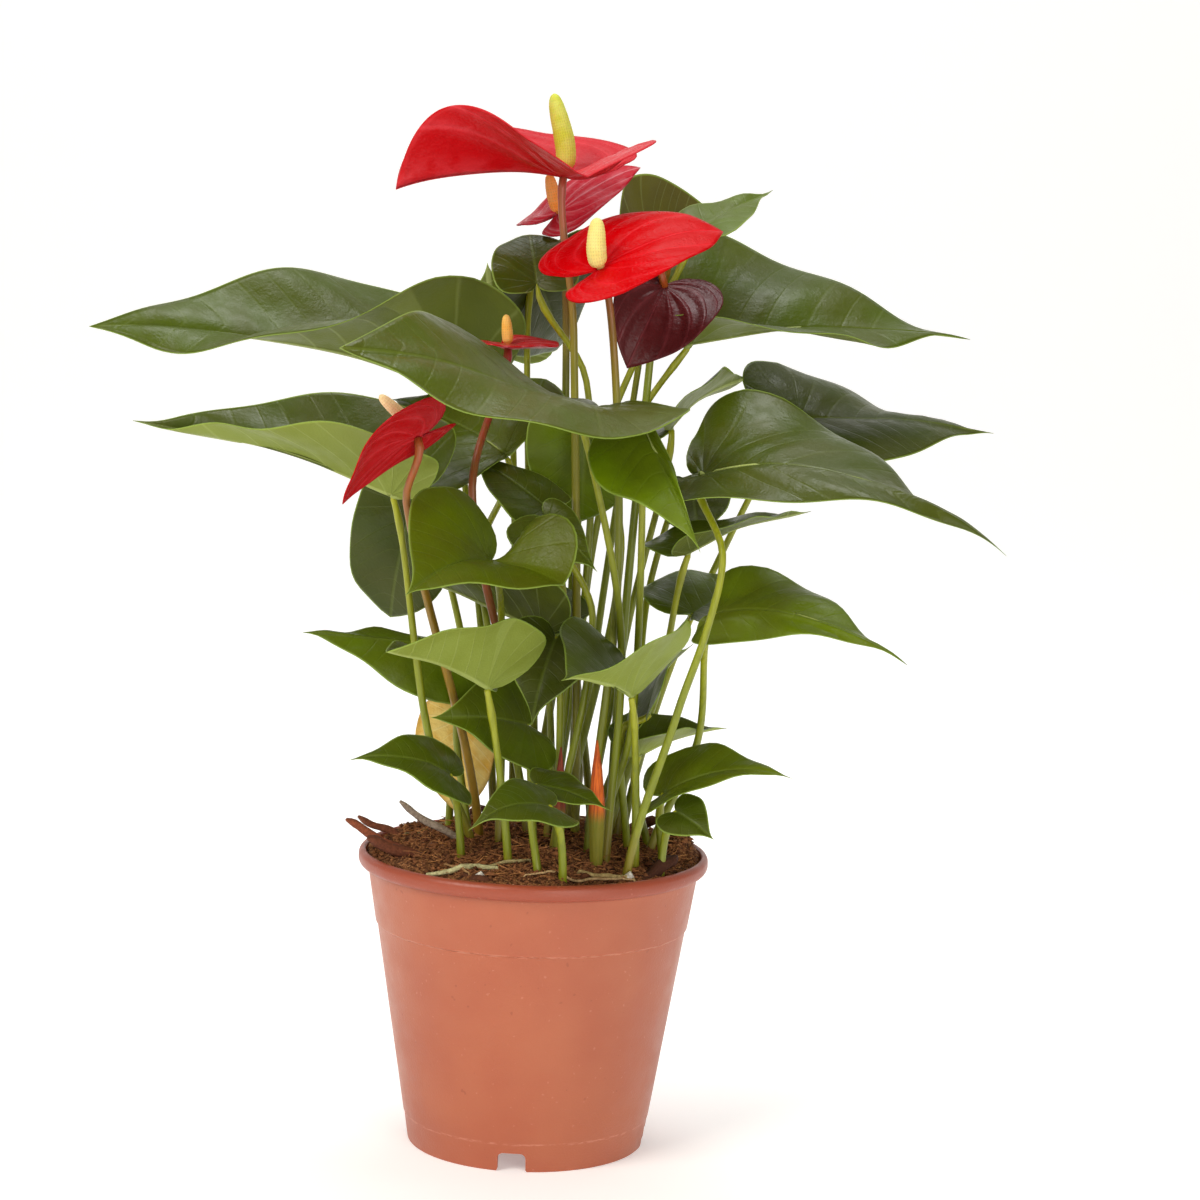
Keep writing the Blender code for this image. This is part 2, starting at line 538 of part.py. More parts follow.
def bends(s):
    """Via points to try for a stem: as they are, then pushed aside further and further."""
    yield s["via"]
    foot = np.array([*s["foot"], SOIL_CROWN_Z])
    end = np.array(s["at"], float)
    pushes = [reach * heading(turn, 0) for reach in BEND_REACH for turn in range(0, 360, 30)]
    for push in pushes:
        if s["via"]:
            yield [np.array(point) + push for point in s["via"]]
        for share in BEND_AT:
            yield [foot + (end - foot) * share + push]
    low, high = foot + (end - foot) * 0.35, foot + (end - foot) * 0.72
    for first in pushes[::2]:
        for second in pushes[::2]:
            yield [low + first, high + second]


def is_clear(line, radii, walls, own):
    """Whether a stem keeps its distance from what is there, and from its own blade lower down."""
    for start, end, radius in zip(line[:-1], line[1:], radii):
        span = np.linalg.norm(end - start)
        if any(wall.ray_cast(start, (end - start) / span, span)[0] is not None for wall in walls):
            return False
        limit = radius + GAP + BEND_SLACK
        for share in np.arange(0, 1, BEND_STEP / span):
            point = start * (1 - share) + end * share
            if any(wall.find_nearest(point, limit)[0] is not None for wall in walls):
                return False
            far = np.linalg.norm(point - line[-1]) > OWN_REACH
            if far and own.find_nearest(point, limit)[0] is not None:
                return False
    return True


def route_stems(plants, blades, spare):
    """Centre line, radii and sides of each stem, bent clear of the blades and of each other."""
    routes = {}
    for name, (s, radii_ends, stop) in plants.items():
        others = [shape for other, shape in blades.items() if other != name] + spare
        walls = [tree_of(others), tree_of([tube(*route) for route in routes.values()])]
        own = tree_of([blades[name]])
        chosen = None
        for via in bends(s):
            line = stem_curve(s, STEM_STEPS, stop, via)
            radii = np.linspace(*radii_ends, len(line))
            if chosen is None:
                chosen = line, radii, STEM_SIDES
            if is_clear(line, radii, walls, own):
                chosen = line, radii, STEM_SIDES
                break
        else:
            print("no clear way for", name)
        routes[name] = chosen
    return routes


def tree_of(shapes):
    """Search tree of the faces of several meshes."""
    points, faces, start = [], [], 0
    for shape_points, shape_faces in shapes:
        points += shape_points.tolist()
        faces += (shape_faces + start).tolist()
        start += len(shape_points)
    return BVHTree.FromPolygons(points, faces, all_triangles=True)


def make_leaf(name, s, stem):
    """Blade and petiole grown together, in one solid."""
    blade = put(name, blade_mesh(s, *blade_counts(s)), s["finish"])
    petiole = put("petiole", tube(*stem, last=stem_end(s)))
    return combine(blade, [petiole], "UNION")


def stem_end(s):
    """Direction in which a petiole runs into its blade."""
    _, along, normal = frame_of(s)
    return unit(0.75 * normal + 0.6 * along)


def spadix_of(bloom):
    """The spadix, a tapered tube that stands on the spathe and leans to its tip."""
    s = bloom["blade"]
    normal = seat_of(s)[0]
    fold = math.radians(max(s["fold"][0], s["fold"][2], *s["lift"]))
    base_r = SPADIX_BASE * bloom["spadix_r"]
    rise = BLADE_THICK / 2 + SEAT_GAP + base_r * math.tan(fold)
    base = np.array(s["at"], float) + normal * rise
    tip = np.array(bloom["spadix"], float)
    t = np.array([0, 0.12, 0.4, 0.7, 0.9, 1])[:, None]
    reach = np.linalg.norm(tip - base)
    line = (base * (1 - t) + tip * t + (normal - unit(tip - base)) * reach * t * (1 - t)**2)
    radii = np.array([SPADIX_BASE, 0.95, 1, 0.85, 0.6, 0.25]) * bloom["spadix_r"]
    return tube(line, radii, SPADIX_SIDES, first=normal)


def make_bloom(name, bloom, stem):
    """Spathe, stalk and spadix, each a solid of its own."""
    s = bloom["blade"]
    put(name + "_spathe", blade_mesh(s, *blade_counts(s)), s["finish"])
    normal = seat_of(s)[0]
    put(name + "_stalk", tube(*stem, last=normal), "flower stalk")
    if "spadix" in bloom:
        put(name + "_spadix", spadix_of(bloom), "spadix")


def sheath_of(foot, top, radius):
    """Centre line, radii and sides of a pointed wrap round a shoot that is still closed."""
    foot = np.array([*foot, soil_height(*foot) - STEM_DEPTH])
    t = np.array([0, 0.2, 0.5, 0.8, 1])[:, None]
    line = foot * (1 - t) + np.array(top, float) * t
    return line, np.array([0.6, 0.8, 1, 0.6, 0.12]) * radius, SHEATH_SIDES


def build():
    """Everything in the pot, and the pot."""
    for old in list(bpy.data.objects):
        bpy.data.objects.remove(old)
    plants = {name: (bloom["blade"], STALK_R, stalk_stop(bloom["blade"]))
              for name, bloom in BLOOMS.items()}
    plants.update({name: (s, STEM_R, 0) for name, s in LEAVES.items()})
    blades = {name: blade_mesh(s, *blade_counts(s)) for name, (s, _, _) in plants.items()}
    wraps = {name: sheath_of(*sheath) for name, sheath in SHEATHS.items()}
    spare = [spadix_of(bloom) for bloom in BLOOMS.values() if "spadix" in bloom]
    spare += [tube(*wrap) for wrap in wraps.values()]
    routes = route_stems(plants, blades, spare)
    for name, s in LEAVES.items():
        make_leaf(name, s, routes[name])
    for name, bloom in BLOOMS.items():
        make_bloom(name, bloom, routes[name])
    for name, wrap in wraps.items():
        put(name, tube(*wrap), "sheath")
    make_soil(list(routes.values()) + list(wraps.values()))
    make_pot()
    for piece in bpy.data.objects:
        piece.data.shade_smooth()
        piece.data.set_sharp_from_angle(angle=math.radians(40))


build()
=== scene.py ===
# Potted anthurium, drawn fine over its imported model: leaves, blooms, coir and pot.
# Shapes are worked out in millimetres; addPiece() turns them into metres.
import math
import bmesh
import bpy
import numpy as np
from mathutils import Matrix
from mathutils.bvhtree import BVHTree


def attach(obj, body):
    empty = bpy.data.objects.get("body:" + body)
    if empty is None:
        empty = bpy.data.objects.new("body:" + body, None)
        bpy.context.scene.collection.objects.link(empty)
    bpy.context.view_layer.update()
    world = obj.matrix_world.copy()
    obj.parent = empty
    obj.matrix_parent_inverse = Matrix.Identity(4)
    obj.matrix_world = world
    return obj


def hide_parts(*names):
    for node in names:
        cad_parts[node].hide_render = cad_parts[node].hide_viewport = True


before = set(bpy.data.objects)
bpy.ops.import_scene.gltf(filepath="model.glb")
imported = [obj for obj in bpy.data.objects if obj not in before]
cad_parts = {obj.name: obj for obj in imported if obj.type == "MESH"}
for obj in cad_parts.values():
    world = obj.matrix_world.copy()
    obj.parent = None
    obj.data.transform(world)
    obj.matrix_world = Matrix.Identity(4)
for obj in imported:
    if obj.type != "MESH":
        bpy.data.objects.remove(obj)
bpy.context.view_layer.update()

mm = 0.001


# colours and nodes

def linear(hexColour):
    # each channel by the sRGB curve: c / 12.92 below 0.04045, else ((c + 0.055) / 1.055) ** 2.4
    channels = [int(hexColour[k:k + 2], 16) / 255 for k in (1, 3, 5)]
    light = [c / 12.92 if c < 0.04045 else ((c + 0.055) / 1.055) ** 2.4 for c in channels]
    return (*light, 1.0)


def feed(tree, node, inputs):
    # sets or links each input, by name or number; text is a colour
    for key, value in inputs.items():
        if isinstance(value, bpy.types.NodeSocket):
            tree.links.new(value, node.inputs[key])
        else:
            node.inputs[key].default_value = linear(value) if isinstance(value, str) else value


def addNode(tree, kind, inputs, output=0, **settings):
    # adds one node with its settings, values and links, and gives one of its outputs
    node = tree.nodes.new(kind)
    for key, value in settings.items():
        setattr(node, key, value)
    feed(tree, node, inputs)
    return node.outputs[output]


def newFinish(name, **constants):
    # a Principled material with its fixed values set on the shader's own sockets
    finish = bpy.data.materials.new(name)
    finish.use_nodes = True
    shader = finish.node_tree.nodes["Principled BSDF"]
    feed(finish.node_tree, shader, {key.replace("_", " "): value for key, value in constants.items()})
    return finish, finish.node_tree, shader


def grain(tree, size, low=0.3, high=0.7, detail=3.0, stretch=(1, 1, 1), floor=0.0, top=1.0):
    # noise with lumps about size mm across, eased from floor where it is low to top where high
    place = addNode(tree, "ShaderNodeTexCoord", {}, "Object")
    place = addNode(tree, "ShaderNodeMapping", {"Vector": place, "Scale": stretch})
    noise = addNode(tree, "ShaderNodeTexNoise", {"Vector": place, "Scale": 1 / (size * mm),
                                                 "Detail": detail, "Roughness": 0.55}, "Fac")
    return addNode(tree, "ShaderNodeMapRange", {"Value": noise, "From Min": low, "From Max": high,
                                                "To Min": floor, "To Max": top},
                   interpolation_type="SMOOTHSTEP")


def strip(tree, name, full, gone):
    # 1 where a number kept at the vertices is full, easing to 0 where it is gone
    value = addNode(tree, "ShaderNodeAttribute", {}, "Fac", attribute_name=name)
    return addNode(tree, "ShaderNodeMapRange", {"Value": value, "From Min": full, "From Max": gone,
                                                "To Min": 1.0, "To Max": 0.0},
                   interpolation_type="SMOOTHSTEP")


def veins(tree, wide):
    # 1 on each side vein, where phase is a whole number, and 0 from wide away from it
    phase = addNode(tree, "ShaderNodeAttribute", {}, "Fac", attribute_name="phase")
    away = addNode(tree, "ShaderNodeMath", {0: phase, 1: 0.5}, operation="PINGPONG")
    return addNode(tree, "ShaderNodeMapRange", {"Value": away, "From Max": wide, "To Min": 1.0,
                                                "To Max": 0.0}, interpolation_type="SMOOTHSTEP")


def layers(tree, base, added):
    # lays colours over a base one, each by its mask times its strength; a mask given as text is
    # a number kept at the vertices
    for mask, strength, colour in added:
        if isinstance(mask, str):
            mask = addNode(tree, "ShaderNodeAttribute", {}, "Fac", attribute_name=mask)
        factor = addNode(tree, "ShaderNodeMath", {0: mask, 1: strength}, operation="MULTIPLY")
        base = addNode(tree, "ShaderNodeMix", {0: factor, 6: base, 7: colour}, 2, data_type="RGBA")
    return base


def relief(tree, parts):
    # a bump normal from the sum of heights, each by how many mm it stands out
    total = 0.0
    for height, tall in parts:
        total = addNode(tree, "ShaderNodeMath", {0: height, 1: tall, 2: total},
                        operation="MULTIPLY_ADD")
    return addNode(tree, "ShaderNodeBump", {"Height": total, "Distance": mm}, "Normal")


# meshes

def keepNumbers(mesh, numbers):
    # numbers at the vertices, for the finishes to read by name
    for key, values in numbers.items():
        kept = mesh.attributes.new(key, "FLOAT", "POINT")
        kept.data.foreach_set("value", np.asarray(values, np.float32))


def meshOf(name, points, faces):
    # a mesh in metres from points in mm
    mesh = bpy.data.meshes.new(name)
    mesh.from_pydata((np.asarray(points) * mm).tolist(), [], np.asarray(faces).tolist())
    return mesh


def placed(name, data):
    # an object that shows the data, linked into the scene at the origin
    made = bpy.data.objects.new(name, data)
    bpy.context.scene.collection.objects.link(made)
    return made


def addPiece(name, points, faces, finishes, replaced, slot, slots=None, numbers=None):
    # one smooth-shaded mesh from points in mm, with a finish for each face and numbers at vertices
    mesh = meshOf(name, points, faces)
    for finish in finishes:
        mesh.materials.append(finish)
    if slots is not None:
        mesh.polygons.foreach_set("material_index", np.asarray(slots, np.int32))
    keepNumbers(mesh, numbers or {})
    mesh.shade_smooth()
    mesh.update()
    piece = placed(name, mesh)
    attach(piece, "root")
    if replaced:
        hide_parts(*replaced)
    return piece


def unit(v):
    # each vector divided by its own length
    v = np.asarray(v, float)
    return v / np.linalg.norm(v, axis=-1, keepdims=True)


def heading(azimuth, elevation):
    # unit vector at an azimuth from +X towards +Y, and an elevation
    a, e = np.radians(azimuth), np.radians(elevation)
    return np.array([np.cos(a) * np.cos(e), np.sin(a) * np.cos(e), np.sin(e)])


def turnsOf(count):
    # even angles round a circle, 2 * pi * k / count
    return np.arange(count) * 2 * np.pi / count


def around(count):
    # each place round a ring, and the place after it
    i = np.arange(count)
    return i, (i + 1) % count


def joined(shapes):
    # several (points, faces, numbers) as one
    start, points, faces, numbers = 0, [], [], {}
    for shapePoints, shapeFaces, shapeNumbers in shapes:
        points.append(shapePoints)
        faces.append(np.asarray(shapeFaces) + start)
        start += len(shapePoints)
        for key, values in shapeNumbers.items():
            numbers.setdefault(key, []).append(np.broadcast_to(values, len(shapePoints)))
    return (np.concatenate(points), np.concatenate(faces),
            {key: np.concatenate(values) for key, values in numbers.items()})


# camera, light and floor

view = {
    "height": 305.4, "distance": 981.2,   # mm above the floor, and in front of the pot's axis
    "down": 6.794, "turn": 1.163, "roll": 1.906,
    "lens": 87.07, "sensor": 36.0,
}


def setCamera():
    # the three axes of a camera turned to the right, tipped down and rolled, as matrix columns
    down, turn, roll = (math.radians(view[key]) for key in ("down", "turn", "roll"))
    ahead = np.array([math.sin(turn) * math.cos(down), math.cos(turn) * math.cos(down),
                      -math.sin(down)])
    right = np.array([math.cos(turn), -math.sin(turn), 0])
    up = np.cross(right, ahead)
    rolledRight = right * math.cos(roll) + up * math.sin(roll)
    rolledUp = up * math.cos(roll) - right * math.sin(roll)
    turned = Matrix(np.stack([rolledRight, rolledUp, -ahead], 1).tolist()).to_4x4()
    place = Matrix.Translation((0, -view["distance"] * mm, view["height"] * mm))
    made = placed("camera", bpy.data.cameras.new("camera"))
    made.data.lens = view["lens"]
    made.data.sensor_width = view["sensor"]
    made.matrix_world = place @ turned
    bpy.context.scene.camera = made


studio = {
    "sky": "#FFFFFF", "skyPower": 0.28,
    "lamps": [   # name, place in m, size in m, power in W, colour
        ("key", (-1.3, -1.2, 1.5), 1.1, 30, "#FFF8F0"),
        ("fill", (0.7, -1.6, 0.5), 1.0, 12, "#FFFAF4"),
        ("top", (0.1, 0.3, 1.9), 1.0, 20, "#FFFFFF"),
    ],
    "aim": (0, 0, 0.2), "paperGlow": 0.3,
    "floorHalf": 3.0, "bendStart": 1.6, "bendRadius": 0.9, "bendSteps": 17, "wallTall": 2.5,
}


def setStudio():
    # a white surround that lights softly and is seen as plain white beyond the paper, with
    # strength power + (1 - power) * seen, and square lamps that face the plant
    world = bpy.data.worlds.new("soft white surround")
    bpy.context.scene.world = world
    world.use_nodes = True
    tree, power = world.node_tree, studio["skyPower"]
    seen = addNode(tree, "ShaderNodeLightPath", {}, "Is Camera Ray")
    feed(tree, tree.nodes["Background"], {
        "Color": studio["sky"],
        "Strength": addNode(tree, "ShaderNodeMath", {0: seen, 1: 1 - power, 2: power},
                            operation="MULTIPLY_ADD")})
    for name, place, size, power, colour in studio["lamps"]:
        lamp = bpy.data.lights.new(name, "AREA")
        lamp.size = size
        lamp.energy = power
        lamp.color = linear(colour)[:3]
        made = placed(name, lamp)
        toAim = Matrix.Translation(place).to_translation() - Matrix.Translation(
            studio["aim"]).to_translation()
        made.matrix_world = (Matrix.Translation(place)
                             @ toAim.to_track_quat("Z", "Y").to_matrix().to_4x4())


def setFloor():
    # a sheet whose profile runs flat, then up a quarter circle, then straight up behind the plant
    bend = np.linspace(0, np.pi / 2, studio["bendSteps"])
    radius, start = studio["bendRadius"], studio["bendStart"]
    y = np.concatenate([[-studio["floorHalf"]], start + radius * np.sin(bend), [start + radius]])
    z = np.concatenate([[0], radius * (1 - np.cos(bend)), [studio["wallTall"]]])
    x = np.array([-1, 1]) * studio["floorHalf"]
    grid = np.stack([np.repeat(x, len(y)), np.tile(y, 2), np.tile(z, 2)], 1)
    k = np.arange(len(y) - 1)
    faces = np.stack([k, k + len(y), k + len(y) + 1, k + 1], 1)
    mesh = bpy.data.meshes.new("floor")
    mesh.from_pydata(grid.tolist(), [], faces.tolist())
    mesh.shade_smooth()
    # matt white studio sheet: no sheen, only a soft shadow
    finish, _, _ = newFinish("matt white paper", Base_Color="#F6F6F4", Roughness=0.9,
                             Specular_IOR_Level=0.15, Emission_Color="#FFFFFF",
                             Emission_Strength=studio["paperGlow"])
    mesh.materials.append(finish)
    made = placed("floor", mesh)


setCamera()
setStudio()
setFloor()
bpy.context.scene.view_settings.view_transform = "Standard"
print("camera, light and floor are set")


# routes of the stems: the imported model's own rule, so that each fine stem stays where its solid is

build = {
    "gap": 0.3, "seatGap": 0.7, "thick": 0.8,
    "stemR": (1.55, 1.1), "stalkR": (1.7, 1.35), "stemSides": 5, "stemSteps": 8,
    "geniculum": 38.0, "stemDepth": 7.0, "shortBlade": 40.0, "longBlade": 70.0,
    "bendReach": (4, 8, 12, 17, 23, 30), "bendAt": (0.5, 0.7, 0.3, 0.85), "bendSlack": 0.4,
    "bendStep": 2.5, "ownReach": 14.0, "spadixSides": 7, "spadixBase": 0.45, "sheathSides": 6,
    "soilEdge": 100.6, "soilCrown": 107.5, "soilLump": 1.2,
    "footR": 40.9, "slope": 0.16, "ringZ": 76.2, "ringStep": 0.5, "rimLow": 95.8,
}


def bladeRow(at, tip, width, look, fold, arch, foot, lookTip=None, via=(), lobe=0.22, blunt=0.0,
             wide=0.12, right=1.0, left=1.0, lift=(10, 10), curl=(-15, -15)):
    # at, tip: where the blade meets its stem, and where it ends; look: azimuth and elevation that
    # its top face looks to; fold: how far each half is raised, at the stem and at the tip;
    # arch: rise of the midrib
    return dict(at=at, tip=tip, width=width, look=look, lookTip=lookTip or look, fold=fold,
                arch=arch, foot=foot, via=via, lobe=lobe, blunt=blunt, wide=wide, right=right,
                left=left, lift=lift, curl=curl)


leafRows = {
    "leaf_01": bladeRow((-36, 48, 255), (-158, 22, 274), 94, (-90, 88), (44, 4, 66, -10), 9,
                        (-14, 20), lookTip=(-90, 50), blunt=0.14, curl=(-15, -10), lobe=0.16),
    "leaf_02": bladeRow((10, -48, 256), (-63, -104, 275), 80, (-90, 62), (-8, 42, 26, -22), 3,
                        (24, -27), via=[(23, -27, 182)], lobe=0.2, blunt=0.16, lift=(5, 30)),
    "leaf_03": bladeRow((-50, -34, 225), (-137, -18, 246), 64, (-90, 88), (64, 42, 60, 24), 3,
                        (-20, -14), lookTip=(-90, 80), via=[(-36, -24, 143)], left=0.8, lobe=0.15),
    "leaf_04": bladeRow((-14, 2, 237), (-55, 44, 252), 66, (-90, 45), (14, 8, 14, 8), 4, (-2, -2),
                        lobe=0.06, wide=0.2),
    "leaf_05": bladeRow((-46, 22, 217), (-53, 34, 176), 38, (-100, 15), (10, 5, 10, 5), 3,
                        (-26, 10), blunt=0.6),
    "leaf_06": bladeRow((-17, -58, 207), (-42, -94, 199), 60, (-90, 60), (42, 12, 14, 5), 4,
                        (-12, -14), lookTip=(-100, 50), via=[(-13, -12, 177)], lobe=0.28,
                        lift=(12, 58)),
    "leaf_07": bladeRow((0, -2, 177), (-40, 14, 191), 52, (-90, 85), (30, 15, 68, 50), 1, (6, 4)),
    "leaf_08": bladeRow((-17, -46, 164), (-48, -82, 180), 54, (-90, 88), (30, 10, 64, 40), 2,
                        (-8, -36), lookTip=(-80, 80), blunt=0.5, right=0.55),
    "leaf_09": bladeRow((-29, -12, 172), (-79, -24, 177), 40, (-90, 75), (-6, -4, -45, -30), 1,
                        (-22, -4)),
    "leaf_10": bladeRow((5, -20, 177), (-2, -36, 150), 34, (-100, 20), (12, 6, 12, 6), 4, (8, -10)),
    "leaf_11": bladeRow((-4, -19, 148), (-35, -41, 153), 38, (-90, 35), (10, 5, 10, 5), 2,
                        (0, -20)),
    "leaf_12": bladeRow((-29, -34, 133), (-61, -48, 139), 27, (-90, 52), (10, 4, 10, 4), 5,
                        (-24, -26)),
    "leaf_13": bladeRow((4, -64, 129), (-21, -78, 123), 26, (-90, 60), (12, 4, 12, 4), 5,
                        (10, -50)),
    "leaf_14": bladeRow((1, -43, 132), (25, -59, 127), 20, (-90, 70), (12, 4, 12, 4), 1, (2, -44)),
    "leaf_15": bladeRow((30, -48, 163), (7, -84, 173), 64, (-90, 88), (52, 25, 66, 30), 2,
                        (34, -30), lookTip=(-80, 80)),
    "leaf_16": bladeRow((37, -22, 154), (52, -4, 175), 38, (120, 60), (15, 8, 15, 8), 3, (32, -12)),
    "leaf_17": bladeRow((35, -8, 137), (65, 2, 145), 34, (-90, 85), (45, 20, 45, 20), 2, (40, -2)),
    "leaf_18": bladeRow((43, -30, 128), (84, -44, 137), 36, (-90, 55), (12, 4, 12, 4), 6,
                        (44, -24), lookTip=(-90, 60), right=0.45),
    "leaf_19": bladeRow((47, -38, 123), (59, -46, 116), 18, (-90, 40), (10, 4, 10, 4), 1,
                        (42, -32)),
    "leaf_20": bladeRow((58, -38, 190), (117, -66, 178), 42, (-90, 70), (-50, 0, 30, -30), 8,
                        (38, -12), lookTip=(-80, 60), via=[(54, -12, 142)], right=0.55, lobe=0.08),
    "leaf_21": bladeRow((53, 18, 183), (81, 62, 192), 42, (-90, 60), (15, 8, 15, 8), 2, (30, 14)),
    "leaf_22": bladeRow((50, 2, 206), (93, 26, 219), 40, (-90, 85), (40, 20, 14, 4), 2, (24, 2)),
    "leaf_23": bladeRow((51, -50, 236), (145, -80, 216), 86, (-90, 60), (8, -14, 16, -55), 15,
                        (30, -40), via=[(45, -58, 160), (53, -68, 189), (57, -66, 212)],
                        right=0.5, lobe=0.1),
    "leaf_24": bladeRow((89, 40, 250), (161, 62, 246), 64, (-90, 62), (8, 0, 18, -45), 3, (20, 18)),
    "leaf_25": bladeRow((49, 22, 276), (149, 50, 279), 96, (-90, 86), (26, -10, 56, 4), 5,
                        (12, 24), lookTip=(-90, 66), right=0.8),
    "leaf_26": bladeRow((35, 54, 303), (59, 80, 321), 60, (95, 20), (12, 6, 12, 6), 4, (14, 34),
                        blunt=0.3),
    "leaf_27": bladeRow((49, 18, 314), (77, 50, 330), 26, (-90, 75), (14, 6, 14, 6), 1, (20, 30)),
    "leaf_28": bladeRow((-5, 6, 295), (-8, 22, 311), 30, (-90, 45), (16, 8, 16, 8), 2, (6, 16),
                        via=[(15, 17, 190), (13, 14, 262)], blunt=0.5),
    "leaf_29": bladeRow((-5, 52, 296), (3, 82, 270), 54, (-90, 30), (12, 5, 12, 5), 3, (0, 22),
                        blunt=0.2),
    "leaf_30": bladeRow((-19, 88, 271), (-24, 104, 301), 44, (100, 28), (14, 6, 14, 6), 3,
                        (-8, 24), via=[(-12, 60, 238), (-18, 85, 256)]),
    "leaf_31": bladeRow((31, -50, 251), (49, -84, 214), 43, (-100, 20), (14, 8, 20, 10), 3,
                        (20, -16), lookTip=(-90, 30), left=0.16, lobe=0.1, wide=0.3),
    "leaf_32": bladeRow((13, 2, 247), (13, 12, 214), 40, (-90, 15), (12, 5, 12, 5), 4, (10, 4),
                        blunt=0.4),
    "leaf_33": bladeRow((43, 24, 247), (73, 64, 263), 46, (100, 50), (14, 6, 14, 6), 3, (18, 10)),
    "leaf_34": bladeRow((51, 33, 226), (54, 37, 208), 28, (-90, 30), (10, 5, 10, 5), 3, (28, 8),
                        blunt=0.3),
    "leaf_35": bladeRow((1, -10, 220), (-29, 4, 237), 30, (-90, 60), (12, 5, 12, 5), 2, (4, -6),
                        right=0.7, lobe=0.08),
    "leaf_36": bladeRow((1, -26, 218), (18, -38, 202), 32, (-90, 35), (12, 5, 12, 5), 2, (6, -20),
                        left=0.5),
    "leaf_37_yellow": bladeRow((-26, 14, 144), (-25, 6, 111), 33, (-120, 10), (20, 12, 20, 12), 2,
                               (-30, 16), lookTip=(-110, 10), blunt=0.35),
}

bloomRows = {   # a spathe is a blade like a leaf's, with the spadix standing on it
    "bloom_1": dict(blade=bladeRow((3, 0, 331), (-52, -14, 324), 57, (-90, 86), (38, 30, 8, 88), 4,
                                   (14, -2), via=[(6, 0, 280)], lobe=0.5, blunt=0.8, wide=0.3,
                                   lift=(10, 30)),
                    spadix=(-1, 0, 358), spadixR=3.4),
    "bloom_2": dict(blade=bladeRow((2, 26, 319), (30, 44, 336), 34, (-90, 70), (-10, 0, -10, 0), 2,
                                   (-2, 14), lookTip=(-90, 60), via=[(-2, 16, 289)], lobe=0.3,
                                   blunt=0.3, wide=0.1, right=0.6),
                    spadix=(-2, 22, 332), spadixR=2.4),
    "bloom_3": dict(blade=bladeRow((16, -34, 301), (56, -20, 314), 48, (-90, 62), (6, 4, 6, 4), 4,
                                   (18, -20), lookTip=(-90, 60), via=[(18, -30, 260)], lobe=0.36,
                                   blunt=0.45, wide=0.1, right=0.75, lift=(12, 10)),
                    spadix=(14, -36, 317), spadixR=3.2),
    "bloom_4": dict(blade=bladeRow((38, -4, 295), (26, -16, 268), 42, (90, -10),
                                   (-16, -26, -16, -26), -3, (26, 16),
                                   via=[(46, 9, 284), (50, 2, 304), (45, -9, 304)],
                                   lobe=0.24, blunt=0.4, right=1.05, left=0.8)),
    "bloom_5": dict(blade=bladeRow((-14, 8, 273), (3, -4, 274), 32, (-90, 86), (16, 5, 16, 5), 0,
                                   (4, 12), via=[(-24, -17, 223)], lobe=0.3,
                                   blunt=0.3),
                    spadix=(-15, 8, 284), spadixR=1.9),
    "bloom_6": dict(blade=bladeRow((-41, -62, 246), (-63, -75, 225), 30, (165, 42),
                                   (-20, -30, 34, 10), 3, (-18, -3), lookTip=(165, 30),
                                   via=[(-42, -54, 225)],
                                   lobe=0.4, blunt=0.25, right=0.5),
                    spadix=(-53, -64, 259), spadixR=2.2),
}

sheathRows = {   # foot, top and radius of each shoot that hasn't opened
    "sheath_1": ((21, -34), (19.8, -35, 146), 2.8),
    "sheath_2": ((8, -26), (8, -27, 142), 2.2),
}


def wallRadius(z):
    # the pot's outer wall widens evenly with height, and by a small step above its ring
    return build["footR"] + build["slope"] * z + (build["ringStep"] if z > build["ringZ"] else 0)


soilR = wallRadius(build["rimLow"]) + 0.6 - build["gap"]


def soilHeight(x, y):
    # a dome, edge + (crown - edge) * (1 - r * r), with low crossed waves on it
    r = np.hypot(x, y) / soilR
    dome = build["soilEdge"] + (build["soilCrown"] - build["soilEdge"]) * (1 - r**2)
    lumps = np.sin(x / 7.3 + 1.1) * np.cos(y / 6.1) + 0.6 * np.sin((x + 2 * y) / 9.7 + 0.4)
    return dome + build["soilLump"] * lumps


def bezier(points, count):
    # points of a cubic Bezier curve, without its last one
    p = np.asarray(points, float)
    t = np.linspace(0, 1, count + 1)[:-1, None]
    return (1 - t)**3 * p[0] + 3 * t * (1 - t)**2 * p[1] + 3 * t * t * (1 - t) * p[2] + t**3 * p[3]


def heartOutline(length, half, s, counts):
    # three Bezier curves from the tip round the shoulder into the sinus, then mirrored
    lobe, blunt, wide = s["lobe"], s["blunt"], s["wide"]
    tipSide = [(1, 0), (0.74 + 0.1 * blunt, 0.04 + 1.6 * blunt), (0.5, 0.92 + 0.2 * blunt),
               (wide, 1)]
    shoulder = [(wide, 1), (wide - 0.3, 1), (-1.15 * lobe, 0.78), (-lobe, 0.4)]
    sinus = [(-lobe, 0.4), (-0.85 * lobe, 0.1), (-0.05, 0.03), (-0.02, 0)]
    side = np.concatenate([bezier(tipSide, counts[0]), bezier(shoulder, counts[1]),
                           bezier(sinus, counts[2]), [(-0.02, 0)]])
    side = side * [length, half]
    return np.concatenate([side, side[-2:0:-1] * [1, -1]])


def frameOf(s):
    # length of the blade, direction of its chord, and its top normal at the stem
    chord = np.subtract(s["tip"], s["at"]).astype(float)
    along = unit(chord)
    normal = heading(*s["look"])
    return np.linalg.norm(chord), along, unit(normal - (normal @ along) * along)


